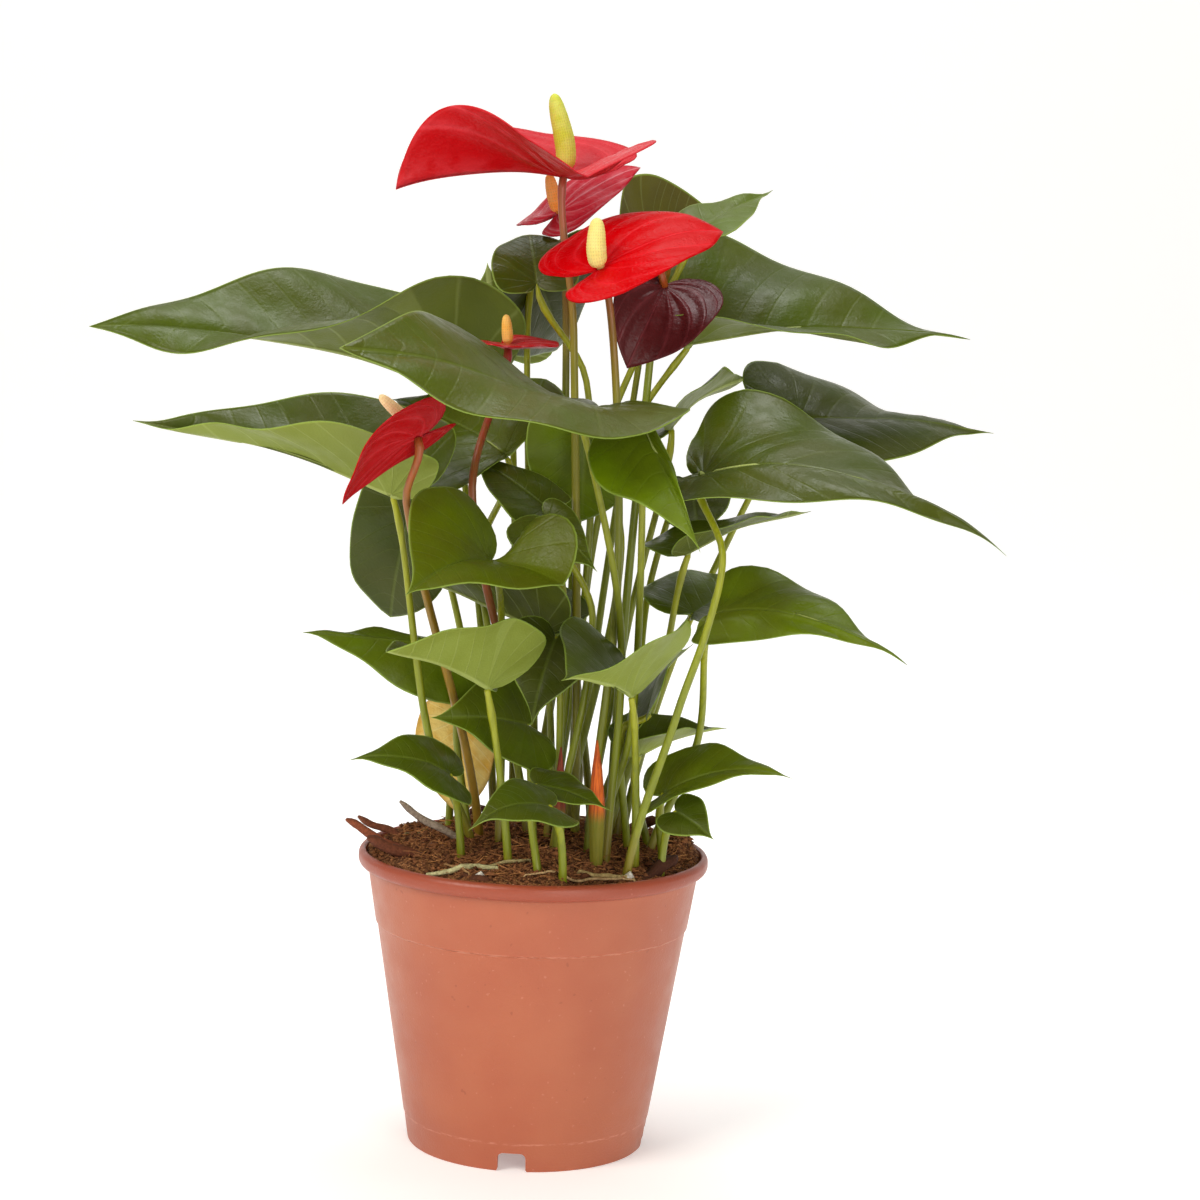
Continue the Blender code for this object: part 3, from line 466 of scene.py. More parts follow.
def layBlade(s, flat):
    # flat points (u along, v across) on the arched, folded blade: the normal turns from look to
    # lookTip, the midrib rises by 4 * arch * t * (1 - t), and each half leaves it at its fold
    # angle and follows a circular arc: across = (sin(a + b * v) - sin(a)) / b
    length, along, _ = frameOf(s)
    u = flat[:, 0]
    onRight = flat[:, 1] >= 0
    v = np.abs(flat[:, 1]) * np.where(onRight, s["right"], s["left"])
    t = u / length
    t01 = np.clip(t, 0, 1)[:, None]
    normal = (1 - t01) * heading(*s["look"]) + t01 * heading(*s["lookTip"])
    normal = unit(normal - (normal @ along)[:, None] * along)
    side = np.cross(along, normal)
    raised = np.tan(np.radians(np.where(onRight, *s["lift"])))
    behind = 4 * s["arch"] * t - raised * u * np.clip(v / 6, 0, 1)
    rise = np.where(t >= 0, 4 * s["arch"] * t * (1 - t), behind)
    f0, f1, g0, g1 = s["fold"]
    t01 = t01[:, 0]
    start = np.radians(np.where(onRight, f0 + (f1 - f0) * t01, g0 + (g1 - g0) * t01))
    bend = np.radians(np.where(onRight, *s["curl"])) / (0.5 * s["width"])
    across = (np.sin(start + bend * v) - np.sin(start)) / bend
    up = (np.cos(start) - np.cos(start + bend * v)) / bend
    across = np.where(onRight, across, -across)
    return (np.asarray(s["at"], float) + along * u[:, None] + normal * (rise + up)[:, None]
            + side * across[:, None])


def fanFaces(n, rings):
    # triangles from the centre to the first ring, then pairs between each two rings
    i, j = around(n)
    faces = [np.stack([0 * i, 1 + i, 1 + j], 1)]
    half = (i < n / 2)[:, None]
    for k in range(rings - 1):
        a, b = 1 + k * n, 1 + (k + 1) * n
        faces.append(np.where(half, np.stack([a + i, b + i, b + j], 1),
                              np.stack([a + i, b + i, a + j], 1)))
        faces.append(np.where(half, np.stack([a + i, b + j, a + j], 1),
                              np.stack([b + i, b + j, a + j], 1)))
    return np.concatenate(faces)


def normalsOf(points, faces):
    # at each vertex, the sum of its faces' area vectors, at length 1
    normals = np.zeros_like(points)
    area = np.cross(points[faces[:, 1]] - points[faces[:, 0]],
                    points[faces[:, 2]] - points[faces[:, 0]])
    for corner in range(3):
        np.add.at(normals, faces[:, corner], area)
    return unit(normals)


def rimFaces(n, rings, count):
    # quads, as triangles, that join the last ring of the top to the last ring of the underside
    rim = 1 + (rings - 1) * n + np.arange(n)
    after = np.roll(rim, -1)
    return np.concatenate([np.stack([rim, rim + count, after + count], 1),
                           np.stack([rim, after + count, after], 1)])


def coarseBlade(s):
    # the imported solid's own blade
    length = frameOf(s)[0]
    counts, rings = ((5, 3, 2), 3) if length > build["longBlade"] else ((4, 2, 2), 2)
    if length < build["shortBlade"]:
        counts, rings = (3, 2, 1), 2
    outline = heartOutline(length, 0.5 * s["width"], s, counts)
    n = len(outline)
    steps = np.linspace(0, 1, rings + 1)[1:, None, None]
    mid = layBlade(s, np.concatenate([np.zeros((1, 2)), (steps * outline).reshape(-1, 2)]))
    faces = fanFaces(n, rings)
    normals = normalsOf(mid, faces) * build["thick"] / 2
    m = len(mid)
    return (np.concatenate([mid + normals, mid - normals]),
            np.concatenate([faces, faces[:, ::-1] + m, rimFaces(n, rings, m)]))


def seatOf(s):
    # normal and midrib direction of the arched blade just where its stem meets it
    length, along, normal = frameOf(s)
    slope = 4 * s["arch"] / length
    return unit(normal - slope * along), unit(along + slope * normal)


def stemCurve(s, count, stop, via):
    # Hermite curves from in the coir through the via points to under the blade
    _, along, normal = frameOf(s)
    endWay = unit(0.75 * normal + 0.6 * along) if stop == 0 else seatOf(s)[0]
    end = np.asarray(s["at"], float) - stop * endWay
    points = np.array([(*s["foot"], soilHeight(*s["foot"]) - build["stemDepth"]), *via, end], float)
    spans = np.linalg.norm(np.diff(points, axis=0), axis=1)
    ways = np.zeros_like(points)
    ways[0] = unit((points[1] - points[0]) * [0.35, 0.35, 1])
    ways[-1] = endWay
    for k in range(1, len(points) - 1):
        before, after = unit(points[k] - points[k - 1]), unit(points[k + 1] - points[k])
        ways[k] = unit(before * spans[k - 1] + after * spans[k])
    runs = []
    for k, span in enumerate(spans):
        last = k == len(spans) - 1
        steps = max(2, round(count * span / spans.sum()))
        t = np.linspace(0, 1, steps + 1)[:None if last else -1, None]
        reach = min(span, build["geniculum"]) if last else span
        runs.append((2 * t**3 - 3 * t * t + 1) * points[k] + (t**3 - 2 * t * t + t) * span * ways[k]
                    + (3 * t * t - 2 * t**3) * points[k + 1] + (t**3 - t * t) * reach * ways[k + 1])
    return np.concatenate(runs)


def tube(centres, radii, sides, first=None, last=None, lobes=None):
    # a ring of points round each centre, turned as little as possible, with closed ends;
    # lobes, if given, scales the radius at each centre and side
    centres = np.asarray(centres, float)
    ways = unit(np.gradient(centres, axis=0))
    if first is not None:
        ways[0] = unit(first)
    if last is not None:
        ways[-1] = unit(last)
    across = np.zeros_like(centres)
    reference = np.array([1, 0.13, 0])
    for k, way in enumerate(ways):
        reference = unit(reference - (reference @ way) * way)
        across[k] = reference
    angles = turnsOf(sides)
    ring = (np.cos(angles)[None, :, None] * across[:, None]
            + np.sin(angles)[None, :, None] * np.cross(ways, across)[:, None])
    radii = np.broadcast_to(radii, len(centres))[:, None]
    radii = radii * (1 if lobes is None else lobes)
    radii = np.broadcast_to(radii, (len(centres), sides))
    points = (centres[:, None] + radii[..., None] * ring).reshape(-1, 3)
    i, j = around(sides)
    faces = []
    for k in range(len(centres) - 1):
        a, b = k * sides, (k + 1) * sides
        faces += [np.stack([a + i, a + j, b + j], 1), np.stack([a + i, b + j, b + i], 1)]
    low, high, top = len(points), len(points) + 1, (len(centres) - 1) * sides
    faces += [np.stack([low + 0 * i, j, i], 1), np.stack([high + 0 * i, top + i, top + j], 1)]
    return np.concatenate([points, centres[[0, -1]]]), np.concatenate(faces)


def spadixLine(bloom, steps):
    # centre line of the spadix: it leaves the seat along the normal and leans to its tip
    s = bloom["blade"]
    normal = seatOf(s)[0]
    fold = math.radians(max(s["fold"][0], s["fold"][2], *s["lift"]))
    rise = (build["thick"] / 2 + build["seatGap"]
            + build["spadixBase"] * bloom["spadixR"] * math.tan(fold))
    base = np.array(s["at"], float) + normal * rise
    tip = np.array(bloom["spadix"], float)
    t = np.asarray(steps, float)[:, None]
    reach = np.linalg.norm(tip - base)
    line = base * (1 - t) + tip * t + (normal - unit(tip - base)) * reach * t * (1 - t)**2
    return line, normal


def coarseSpadix(bloom):
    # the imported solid's own spadix, a tapered tube along its centre line
    line, normal = spadixLine(bloom, [0, 0.12, 0.4, 0.7, 0.9, 1])
    radii = np.array([build["spadixBase"], 0.95, 1, 0.85, 0.6, 0.25]) * bloom["spadixR"]
    return tube(line, radii, build["spadixSides"], first=normal)


def sheathLine(foot, top, steps):
    # straight from in the coir to the tip, foot * (1 - t) + top * t
    foot = np.array([*foot, soilHeight(*foot) - build["stemDepth"]])
    t = np.asarray(steps, float)[:, None]
    return foot * (1 - t) + np.array(top, float) * t


def coarseSheath(foot, top, radius):
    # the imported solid's own sheath, a tube that swells to its middle and ends in a point
    radii = np.array([0.6, 0.8, 1, 0.6, 0.12]) * radius
    return tube(sheathLine(foot, top, [0, 0.2, 0.5, 0.8, 1]), radii, build["sheathSides"])


def treeOf(shapes):
    # search tree of the faces of several meshes
    points, faces, start = [], [], 0
    for shapePoints, shapeFaces in shapes:
        points += shapePoints.tolist()
        faces += (shapeFaces + start).tolist()
        start += len(shapePoints)
    return BVHTree.FromPolygons(points, faces, all_triangles=True)


def bends(s):
    # via points to try for a stem: as they are, then pushed aside further and further
    yield s["via"]
    foot = np.array([*s["foot"], build["soilCrown"]])
    end = np.array(s["at"], float)
    pushes = [reach * heading(turn, 0) for reach in build["bendReach"]
              for turn in range(0, 360, 30)]
    for push in pushes:
        if s["via"]:
            yield [np.array(point) + push for point in s["via"]]
        for share in build["bendAt"]:
            yield [foot + (end - foot) * share + push]
    low, high = foot + (end - foot) * 0.35, foot + (end - foot) * 0.72
    for first in pushes[::2]:
        for second in pushes[::2]:
            yield [low + first, high + second]


def isClear(line, radii, walls, own):
    # whether a stem keeps its distance from what is there, and from its own blade lower down
    for start, end, radius in zip(line[:-1], line[1:], radii):
        span = np.linalg.norm(end - start)
        if any(wall.ray_cast(start, (end - start) / span, span)[0] is not None for wall in walls):
            return False
        limit = radius + build["gap"] + build["bendSlack"]
        for share in np.arange(0, 1, build["bendStep"] / span):
            point = start * (1 - share) + end * share
            if any(wall.find_nearest(point, limit)[0] is not None for wall in walls):
                return False
            far = np.linalg.norm(point - line[-1]) > build["ownReach"]
            if far and own.find_nearest(point, limit)[0] is not None:
                return False
    return True


def stalkStop(s):
    # how far under the midrib a flower stalk ends
    droop = math.radians(max(0, -s["fold"][0], -s["fold"][2]))
    return build["thick"] / 2 + build["seatGap"] + build["stalkR"][1] * math.tan(droop)


def routeStems(plants, spare):
    # via points of each stem, bent clear of the blades and of each other
    blades = {name: coarseBlade(s) for name, (s, _, _) in plants.items()}
    tubes, routes = [], {}
    for name, (s, radiusEnds, stop) in plants.items():
        others = [shape for other, shape in blades.items() if other != name] + spare
        walls = [treeOf(others), treeOf(tubes)]
        own = treeOf([blades[name]])
        chosen = None
        for via in bends(s):
            line = stemCurve(s, build["stemSteps"], stop, via)
            radii = np.linspace(*radiusEnds, len(line))
            if isClear(line, radii, walls, own):
                chosen = via
                break
        if chosen is None:
            chosen = s["via"]
            line = stemCurve(s, build["stemSteps"], stop, chosen)
            radii = np.linspace(*radiusEnds, len(line))
        tubes.append(tube(line, radii, build["stemSides"]))
        routes[name] = chosen
    return routes


plants = {name: (bloom["blade"], build["stalkR"], stalkStop(bloom["blade"]))
          for name, bloom in bloomRows.items()}
plants.update({name: (s, build["stemR"], 0) for name, s in leafRows.items()})
spare = [coarseSpadix(bloom) for bloom in bloomRows.values() if "spadix" in bloom]
spare += [coarseSheath(*row) for row in sheathRows.values()]
routes = routeStems(plants, spare)
print("stems are routed:", len(routes))


# leaf finishes

leafColours = {
    "old": "#323A06", "fresh": "#667E04", "dull": "#484A12", "vein": "#728234",
    "edge": "#93AC48", "warm": "#6B4A12",
    # the underside runs from a painted-shade dark to a pale colour that is partly its own paleness and
    # partly painted light shining through the leaf
    "underShaded": "#394208", "underPaleLit": "#98A64A", "underDull": "#6C761A",
    "underVein": "#B4C074",
    "stemFoot": "#7E6A1C", "stem": "#7C850C", "stemHigh": "#A2A41A", "streak": "#565E08",
    "yellow": "#E9CB74", "tan": "#D7A63C", "paleVein": "#F0DC9A", "scorched": "#B98A3A",
}


def leafTopFinish():
    # cuticle of a living leaf: waxed, so it takes broad soft highlights; pale thin margin
    finish, tree, shader = newFinish("waxy leaf top", Specular_IOR_Level=0.28, IOR=1.45)
    c = leafColours
    ribs, midrib = veins(tree, 0.08), strip(tree, "mmAcross", 0.2, 0.9)
    feed(tree, shader, {
        "Base Color": layers(tree, c["old"], [
            ("tone", 1, c["fresh"]), (grain(tree, 22.0, 0.35, 0.65, 2.0), 0.45, c["dull"]),
            ("warm", 1, c["warm"]), (ribs, 0.08, c["vein"]), (midrib, 0.25, c["vein"]),
            (strip(tree, "mmEdge", 0.15, 0.7), 0.6, c["edge"])]),
        "Roughness": grain(tree, 5.0, floor=0.3, top=0.46),
        "Normal": relief(tree, [(ribs, -0.07), (midrib, -0.1), (grain(tree, 6.0), 0.12),
                                (grain(tree, 1.0, detail=2.0), 0.03)])})
    return finish


def leafUnderFinish():
    # matt underside without wax: duller than the top, with raised veins; its colour runs from a
    # painted-shade dark to a pale colour that is partly its own and partly painted light shining through,
    # by the number under
    finish, tree, shader = newFinish("matt leaf underside", Specular_IOR_Level=0.22, IOR=1.45)
    c = leafColours
    ribs, midrib = veins(tree, 0.07), strip(tree, "mmAcross", 0.5, 1.3)
    feed(tree, shader, {
        "Base Color": layers(tree, c["underShaded"], [
            ("under", 1, c["underPaleLit"]), (grain(tree, 16.0, detail=2.0), 0.35, c["underDull"]),
            ("warm", 1, c["warm"]), (ribs, 0.16, c["underVein"]), (midrib, 0.45, c["underVein"]),
            (strip(tree, "mmEdge", 0.2, 0.9), 0.6, c["edge"])]),
        "Roughness": grain(tree, 4.0, floor=0.45, top=0.56),
        "Normal": relief(tree, [(ribs, 0.1), (midrib, 0.15), (grain(tree, 0.8), 0.04)])})
    return finish


def petioleFinish():
    # smooth juicy stem: brown in the coir, yellow-green above, with faint streaks along it
    finish, tree, shader = newFinish("smooth leaf stem", Specular_IOR_Level=0.45,
                                     Coat_Weight=0.1, Coat_Roughness=0.3)
    c = leafColours
    streak = grain(tree, 1.2, 0.35, 0.7, 2.0, (1, 1, 0.04))
    feed(tree, shader, {
        "Base Color": layers(tree, c["stem"], [
            (strip(tree, "along", 1.0, 0.45), 1, c["stemHigh"]), (streak, 0.35, c["streak"]),
            (strip(tree, "along", 0.04, 0.2), 0.8, c["stemFoot"])]),
        "Roughness": grain(tree, 1.2, floor=0.36, top=0.48),
        "Normal": relief(tree, [(streak, 0.06)])})
    return finish


def yellowedFinish():
    # dying leaf: dull, straw yellow, browner along its edge
    finish, tree, shader = newFinish("dull yellowed leaf", Specular_IOR_Level=0.3)
    c = leafColours
    ribs, midrib = veins(tree, 0.12), strip(tree, "mmAcross", 0.3, 1.0)
    feed(tree, shader, {
        "Base Color": layers(tree, c["yellow"], [
            (grain(tree, 9.0, 0.35, 0.7, 4.0), 1, c["tan"]), (ribs, 0.4, c["paleVein"]),
            (midrib, 0.5, c["paleVein"]), (strip(tree, "mmEdge", 0.2, 2.4), 0.5, c["scorched"])]),
        "Roughness": grain(tree, 9.0, floor=0.55, top=0.7),
        "Normal": relief(tree, [(ribs, 0.1), (grain(tree, 1.5), 0.12)])})
    return finish


# leaf blades

bladeLook = {
    "seedStep": 0.37,         # how far the waves of each leaf are from those of the one before
    "cell": 2.1,              # mm between points on the outline
    "outline": (26, 74),      # fewest and most points on half an outline
    "share": (0.55, 0.28),    # of them on the tip side and on the shoulder
    "rings": (10, 24), "ringShare": 0.6, "lastRing": 0.965,
    "halfThick": (0.3, 0.13),   # mm, at the stem and at the edge
    "palmate": 0,             # ribs a side that leave the stem's end at even turns, if any
    "veinSpacing": 0.13,      # of the blade's length
    "veinLeast": 3.2,         # mm
    "veinUneven": 0.12, "veinShift": 0.35, "veinLean": 0.55, "veinCurve": 0.8,
    "lobeVein": 0.42,         # radians between the veins of the lobes
    "quilt": 0.0028, "roll": 0.006, "wave": 0.012, "waveCount": 7.3,   # of the blade's length
    "rollWaves": ((1.3, 0.8), (-0.7, 0.9)),   # waves along the blade and across half of it
    "ribWide": 0.9, "ridge": 0.55, "furrow": 0.12,   # mm: the midrib, raised below, sunk above
}

leafTones = {   # tone of the top, flush of red, paleness of the underside: low where the underside lies in shade, painted shade, and high where light shines through it, partly painted light
    "leaf_01": (0.3, 0.0, 0.25), "leaf_02": (0.3, 0.04, 0.4), "leaf_03": (0.2, 0.0, 0.6),
    "leaf_04": (0.35, 0.0, 0.4), "leaf_05": (0.12, 0.0, 0.4), "leaf_06": (0.6, 0.1, 0.5),
    "leaf_07": (0.15, 0.0, 0.05), "leaf_08": (0.4, 0.0, 0.65), "leaf_09": (0.6, 0.0, 0.5),
    "leaf_10": (0.05, 0.0, 0.4), "leaf_11": (0.4, 0.0, 0.5), "leaf_12": (0.3, 0.0, 0.5),
    "leaf_13": (0.25, 0.0, 0.4), "leaf_14": (0.2, 0.0, 0.4), "leaf_15": (0.4, 0.0, 0.7),
    "leaf_16": (0.3, 0.0, 0.2), "leaf_17": (0.4, 0.0, 0.9), "leaf_18": (0.7, 0.1, 0.5),
    "leaf_19": (0.2, 0.0, 0.4), "leaf_20": (0.75, 0.06, 0.7), "leaf_21": (0.65, 0.0, 0.5),
    "leaf_22": (0.3, 0.0, 0.1), "leaf_23": (0.15, 0.0, 0.6), "leaf_24": (0.1, 0.0, 0.7),
    "leaf_25": (0.3, 0.0, 0.35), "leaf_26": (0.5, 0.35, 0.1), "leaf_27": (0.6, 0.0, 0.5),
    "leaf_28": (0.1, 0.0, 0.3), "leaf_29": (0.1, 0.0, 0.2), "leaf_30": (0.3, 0.0, 0.2),
    "leaf_31": (1.0, 0.0, 0.5), "leaf_32": (0.75, 0.0, 0.5), "leaf_33": (0.15, 0.0, 0.3),
    "leaf_34": (0.1, 0.0, 0.2), "leaf_35": (0.2, 0.0, 0.4), "leaf_36": (0.3, 0.0, 0.5),
    "leaf_37_yellow": (0.5, 0.0, 0.5),
}


def fineBlade(s, seed, look):
    # rings of points between the stem's end and the heart outline, laid on the blade's form, with
    # added height: waves, w * ring ** 3 * sin(2 * pi * count * share), low rolls across the blade,
    # and quilting, q * sin(pi * phase) ** 2, where phase is whole on each side vein. Side veins
    # run forward from the midrib, phase = (u - lean * v - curve * v * v / width) / spacing, and
    # those of the lobes fan out by angle. Palmate ones leave the stem's end at even turns and bend
    # to the tip, phase = count * turn / (1 - ring * ring / 2)
    length = frameOf(s)[0]
    half = 0.5 * s["width"]
    halfway = 0.68 * (length + s["width"])   # about how long half the outline runs
    n = int(np.clip(halfway / look["cell"], *look["outline"]))
    counts = [max(2, round(n * share)) for share in look["share"]]
    counts.append(max(2, n - sum(counts)))
    outline = heartOutline(length, half, s, counts)
    n = len(outline)
    rings = int(np.clip(look["ringShare"] * max(length, half) / look["cell"], *look["rings"]))
    steps = np.concatenate([np.linspace(0, look["lastRing"], rings)[1:], [1]])
    flat = np.concatenate([np.zeros((1, 2)), (steps[:, None, None] * outline).reshape(-1, 2)])
    u, v = flat[:, 0], np.abs(flat[:, 1])
    ring = np.concatenate([[0], np.repeat(steps, n)])
    share = np.concatenate([[0], np.tile(np.arange(n) / n, rings)])
    edge = (1 - ring) * np.concatenate([[half], np.tile(np.linalg.norm(outline, axis=1), rings)])
    outer = outline[:counts[0] + counts[1] + 1]
    wideAt = np.maximum(np.interp(u, outer[::-1, 0], outer[::-1, 1]), 0.5)
    if look["palmate"]:
        phase = look["palmate"] * 2 * np.minimum(share, 1 - share) / (1 - 0.5 * ring**2)
    else:
        spacing = max(look["veinLeast"], look["veinSpacing"] * length)
        pinnate = (u - look["veinLean"] * v - look["veinCurve"] * v * v / s["width"]) / spacing
        angle = np.arctan2(v, u) - math.atan2(1, look["veinLean"])
        fan = -angle / look["lobeVein"]
        phase = np.where(pinnate > 0, pinnate, np.minimum(fan, 0))
        phase = phase + look["veinUneven"] * np.sin(2.3 * phase + 6 * seed)
        phase = phase + look["veinShift"] * np.clip(flat[:, 1] / 4, 0, 1)
    faces = fanFaces(n, rings)
    mid = layBlade(s, flat)
    down = normalsOf(mid, faces)   # these faces look to the underside
    across = np.clip(v / wideAt, 0, 1)
    fade = np.clip(v / 4, 0, 1) * (1 - across**4) * np.clip(4 * ring, 0, 1)
    roll = sum(np.sin(2 * np.pi * (p * u / length + q * flat[:, 1] / half + (k + 1) * seed))
               for k, (p, q) in enumerate(look["rollWaves"]))
    lift = (look["wave"] * length * ring**3 * np.sin(2 * np.pi * (look["waveCount"] * share + seed))
            * np.clip(6 * (1 - u / length), 0, 1)
            + look["roll"] * length * roll * np.clip(3 * ring, 0, 1)
            + look["quilt"] * length * np.sin(np.pi * phase)**2 * fade)
    mid = mid - down * lift[:, None]
    down = normalsOf(mid, faces)
    thick = look["halfThick"][0] + (look["halfThick"][1] - look["halfThick"][0]) * ring**2
    onRib = np.exp(-(v / look["ribWide"])**2)
    ridge = look["ridge"] * onRib * np.clip(1 - u / length, 0, 1)
    under = mid + down * (thick + ridge)[:, None]
    top = mid - down * (thick - look["furrow"] * onRib * (ring > 0))[:, None]
    count = len(mid)
    faces = np.concatenate([faces, faces[:, ::-1] + count, rimFaces(n, rings, count)])
    slots = np.zeros(len(faces), int)
    slots[:len(faces) // 2 - n] = 1
    numbers = {"phase": np.tile(phase, 2), "mmAcross": np.tile(v, 2), "mmEdge": np.tile(edge, 2),
               "along": np.tile(u / length, 2)}
    return np.concatenate([under, top]), faces, numbers, slots


def fineStem(s, name, stop, radii, finishing):
    # the stem's route sampled closely: radius from radii[0] to radii[1], a soft swelling
    # swell * exp(-((d - at) / wide) ** 2) at distance d from the blade, and a shallow groove
    line = stemCurve(s, finishing["steps"], stop, routes[name])
    if stop == 0:
        lastStep = line[-1] - line[-2]
        inBlade = line[-1] - finishing["short"] * lastStep / np.linalg.norm(lastStep)
        line = np.concatenate([line[:-1], [inBlade]])
    pieces = np.linalg.norm(np.diff(line, axis=0), axis=1)
    left = np.concatenate([np.cumsum(pieces[::-1])[::-1], [0]])
    share = 1 - left / left[0]
    radius = radii[0] + (radii[1] - radii[0]) * share
    radius = radius + finishing["swell"] * np.exp(-((left - finishing["swellAt"])
                                                    / finishing["swellWide"])**2)
    radius[-1] *= finishing["endShare"]
    angles = turnsOf(finishing["sides"])
    groove = 1 - finishing["groove"] * np.exp(-((angles - np.pi) / 0.5)**2)
    lastWay = unit(line[-1] - line[-2])
    points, faces = tube(line, radius, finishing["sides"], last=lastWay,
                         lobes=groove[None, :] * np.ones((len(line), 1)))
    along = np.concatenate([np.repeat(share, finishing["sides"]), [0, 1]])
    return points, faces, {"along": along}


petioleLook = {"steps": 44, "sides": 12, "swell": 0.3, "swellAt": 9.0, "swellWide": 4.0,
               "groove": 0.1, "short": 0.3, "endShare": 0.45}
stalkLook = {"steps": 44, "sides": 14, "radius": (1.6, 1.2), "swell": 0.45, "swellAt": 0.0,
             "swellWide": 5.0, "groove": 0.0, "endShare": 0.8}

leafTop, leafUnder, leafStem = leafTopFinish(), leafUnderFinish(), petioleFinish()
yellowed = yellowedFinish()
youngLeaves = ("leaf_09", "leaf_18", "leaf_27", "leaf_31", "leaf_32")
for k, (name, s) in enumerate(leafRows.items()):
    tone, warm, under = leafTones[name]
    bladePoints, bladeFaces, numbers, slots = fineBlade(s, bladeLook["seedStep"] * k, bladeLook)
    stemPoints, stemFaces, stemNumbers = fineStem(s, name, 0, build["stemR"], petioleLook)
    count = len(stemPoints)
    stemNumbers.update({key: np.full(count, 0.5) for key in ("phase", "mmAcross", "mmEdge")})
    points, faces, numbers = joined([(bladePoints, bladeFaces, numbers),
                                     (stemPoints, stemFaces, stemNumbers)])
    # under paints each leaf's underside darker where it lies in shade and paler where light shines
    # through it
    numbers.update({"tone": np.full(len(points), tone), "under": np.full(len(points), under),
                    "warm": np.full(len(points), warm)})
    slots = np.concatenate([slots, np.full(len(stemFaces), 2)])
    dying = name == "leaf_37_yellow"
    finishes = [yellowed, yellowed, leafStem] if dying else [leafTop, leafUnder, leafStem]
    slot = "yellowed_leaf" if dying else "young_leaf" if name in youngLeaves else "leaf"
    addPiece(name + "_fine", points, faces, finishes, [name], slot, slots, numbers)
print("leaves are grown:", len(leafRows))


# blooms

spatheLook = dict(bladeLook, cell=1.1, outline=(40, 70), rings=(16, 26), halfThick=(0.42, 0.2),
                  quilt=0.007, roll=0.004, wave=0.009, waveCount=5.2, ridge=0.4, palmate=4,
                  seedStep=0.21)
maroonQuilt = 0.02   # the maroon spathe's ribs stand out more
bloomLook = {   # top and underside of the spathe, its vein, the spadix, the stalk low and high
    "bloom_1": ("#C42C34", "#B8060F", "#D84048", "#C4CC38", "#86801A", "#A84A38"),
    # bloom_2's spadix is a lighter orange than its own, to make up for the shadow that bloom_1's spathe
    # casts on it: painted light
    "bloom_2": ("#B01C2C", "#B8404C", "#D88890", "#FF9434", "#7E8420", "#A85A30"),
    "bloom_3": ("#BC0005", "#B80810", "#D8242C", "#EAD87C", "#7E8420", "#96481C"),
    "bloom_4": ("#581A1C", "#521A1B", "#743034", "#B8C02C", "#7E8A20", "#A8481A"),
    "bloom_5": ("#B80A14", "#C85058", "#D87880", "#F4B448", "#8A4420", "#941820"),
    "bloom_6": ("#A80810", "#A80A12", "#C83038", "#EFC898", "#94701E", "#A04A24"),
}
spadixLook = {
    "step": 0.3, "knob": 0.9, "knobSides": 8,   # mm between rings, mm across a knob, points round it
    "knobTall": 0.04,                           # of the spadix's radius
    # seam colour between the knobs, and a pale colour painted on in patches as glints: painted highlight
    "seam": "#7A6410", "paintedGlint": "#FFF3B0",
}


def spatheFinish(name, face, vein, gloss, rough):
    # waxy spathe: strong even colour with a soft sheen, paler along its sunken veins
    finish, tree, shader = newFinish(name, Specular_IOR_Level=gloss, IOR=1.47)
    ribs, midrib = veins(tree, 0.12), strip(tree, "mmAcross", 0.2, 0.8)
    streaks = addNode(tree, "ShaderNodeMath", {0: veins(tree, 0.45), 1: grain(tree, 7.0, 0.4, 0.6)},
                      operation="MULTIPLY")
    feed(tree, shader, {
        "Base Color": layers(tree, face, [
            (streaks, 0.35, vein), (ribs, 0.35, vein), (midrib, 0.3, vein)]),
        "Roughness": grain(tree, 3.0, floor=rough, top=rough + 0.12),
        "Normal": relief(tree, [(ribs, -0.12), (midrib, -0.15), (grain(tree, 1.1, detail=2.0), 0.06),
                                (grain(tree, 5.0), 0.1)])})
    return finish


def stalkFinish(name, low, high):
    # smooth round stalk, one colour at its foot and a redder one just under the bloom
    finish, tree, shader = newFinish(name, Specular_IOR_Level=0.45, Coat_Weight=0.1,
                                     Coat_Roughness=0.3)
    streak = grain(tree, 1.3, 0.35, 0.7, 2.0, (1, 1, 0.04))
    feed(tree, shader, {
        "Base Color": layers(tree, low, [(strip(tree, "along", 1.0, 0.7), 1, high),
                                         (streak, 0.3, leafColours["streak"])]),
        "Roughness": grain(tree, 1.3, floor=0.36, top=0.46),
        "Normal": relief(tree, [(streak, 0.05)])})
    return finish


def spadixFinish(name, colour):
    # crowded tiny flowers: matt knobs with darker seams between them, and pale patches painted on as
    # glints, painted highlight
    finish, tree, shader = newFinish(name, Specular_IOR_Level=0.3, Subsurface_Weight=0.15,
                                     Subsurface_Scale=0.0015)
    c = spadixLook
    feed(tree, shader, {
        "Base Color": layers(tree, colour, [(strip(tree, "knob", -0.9, 0.0), 0.3, c["seam"]),
                                            (grain(tree, 4.0), 0.2, c["paintedGlint"])]),
        "Roughness": grain(tree, 0.8, floor=0.5, top=0.65),
        "Normal": relief(tree, [(grain(tree, 0.45, detail=2.0), 0.06)])})
    return finish


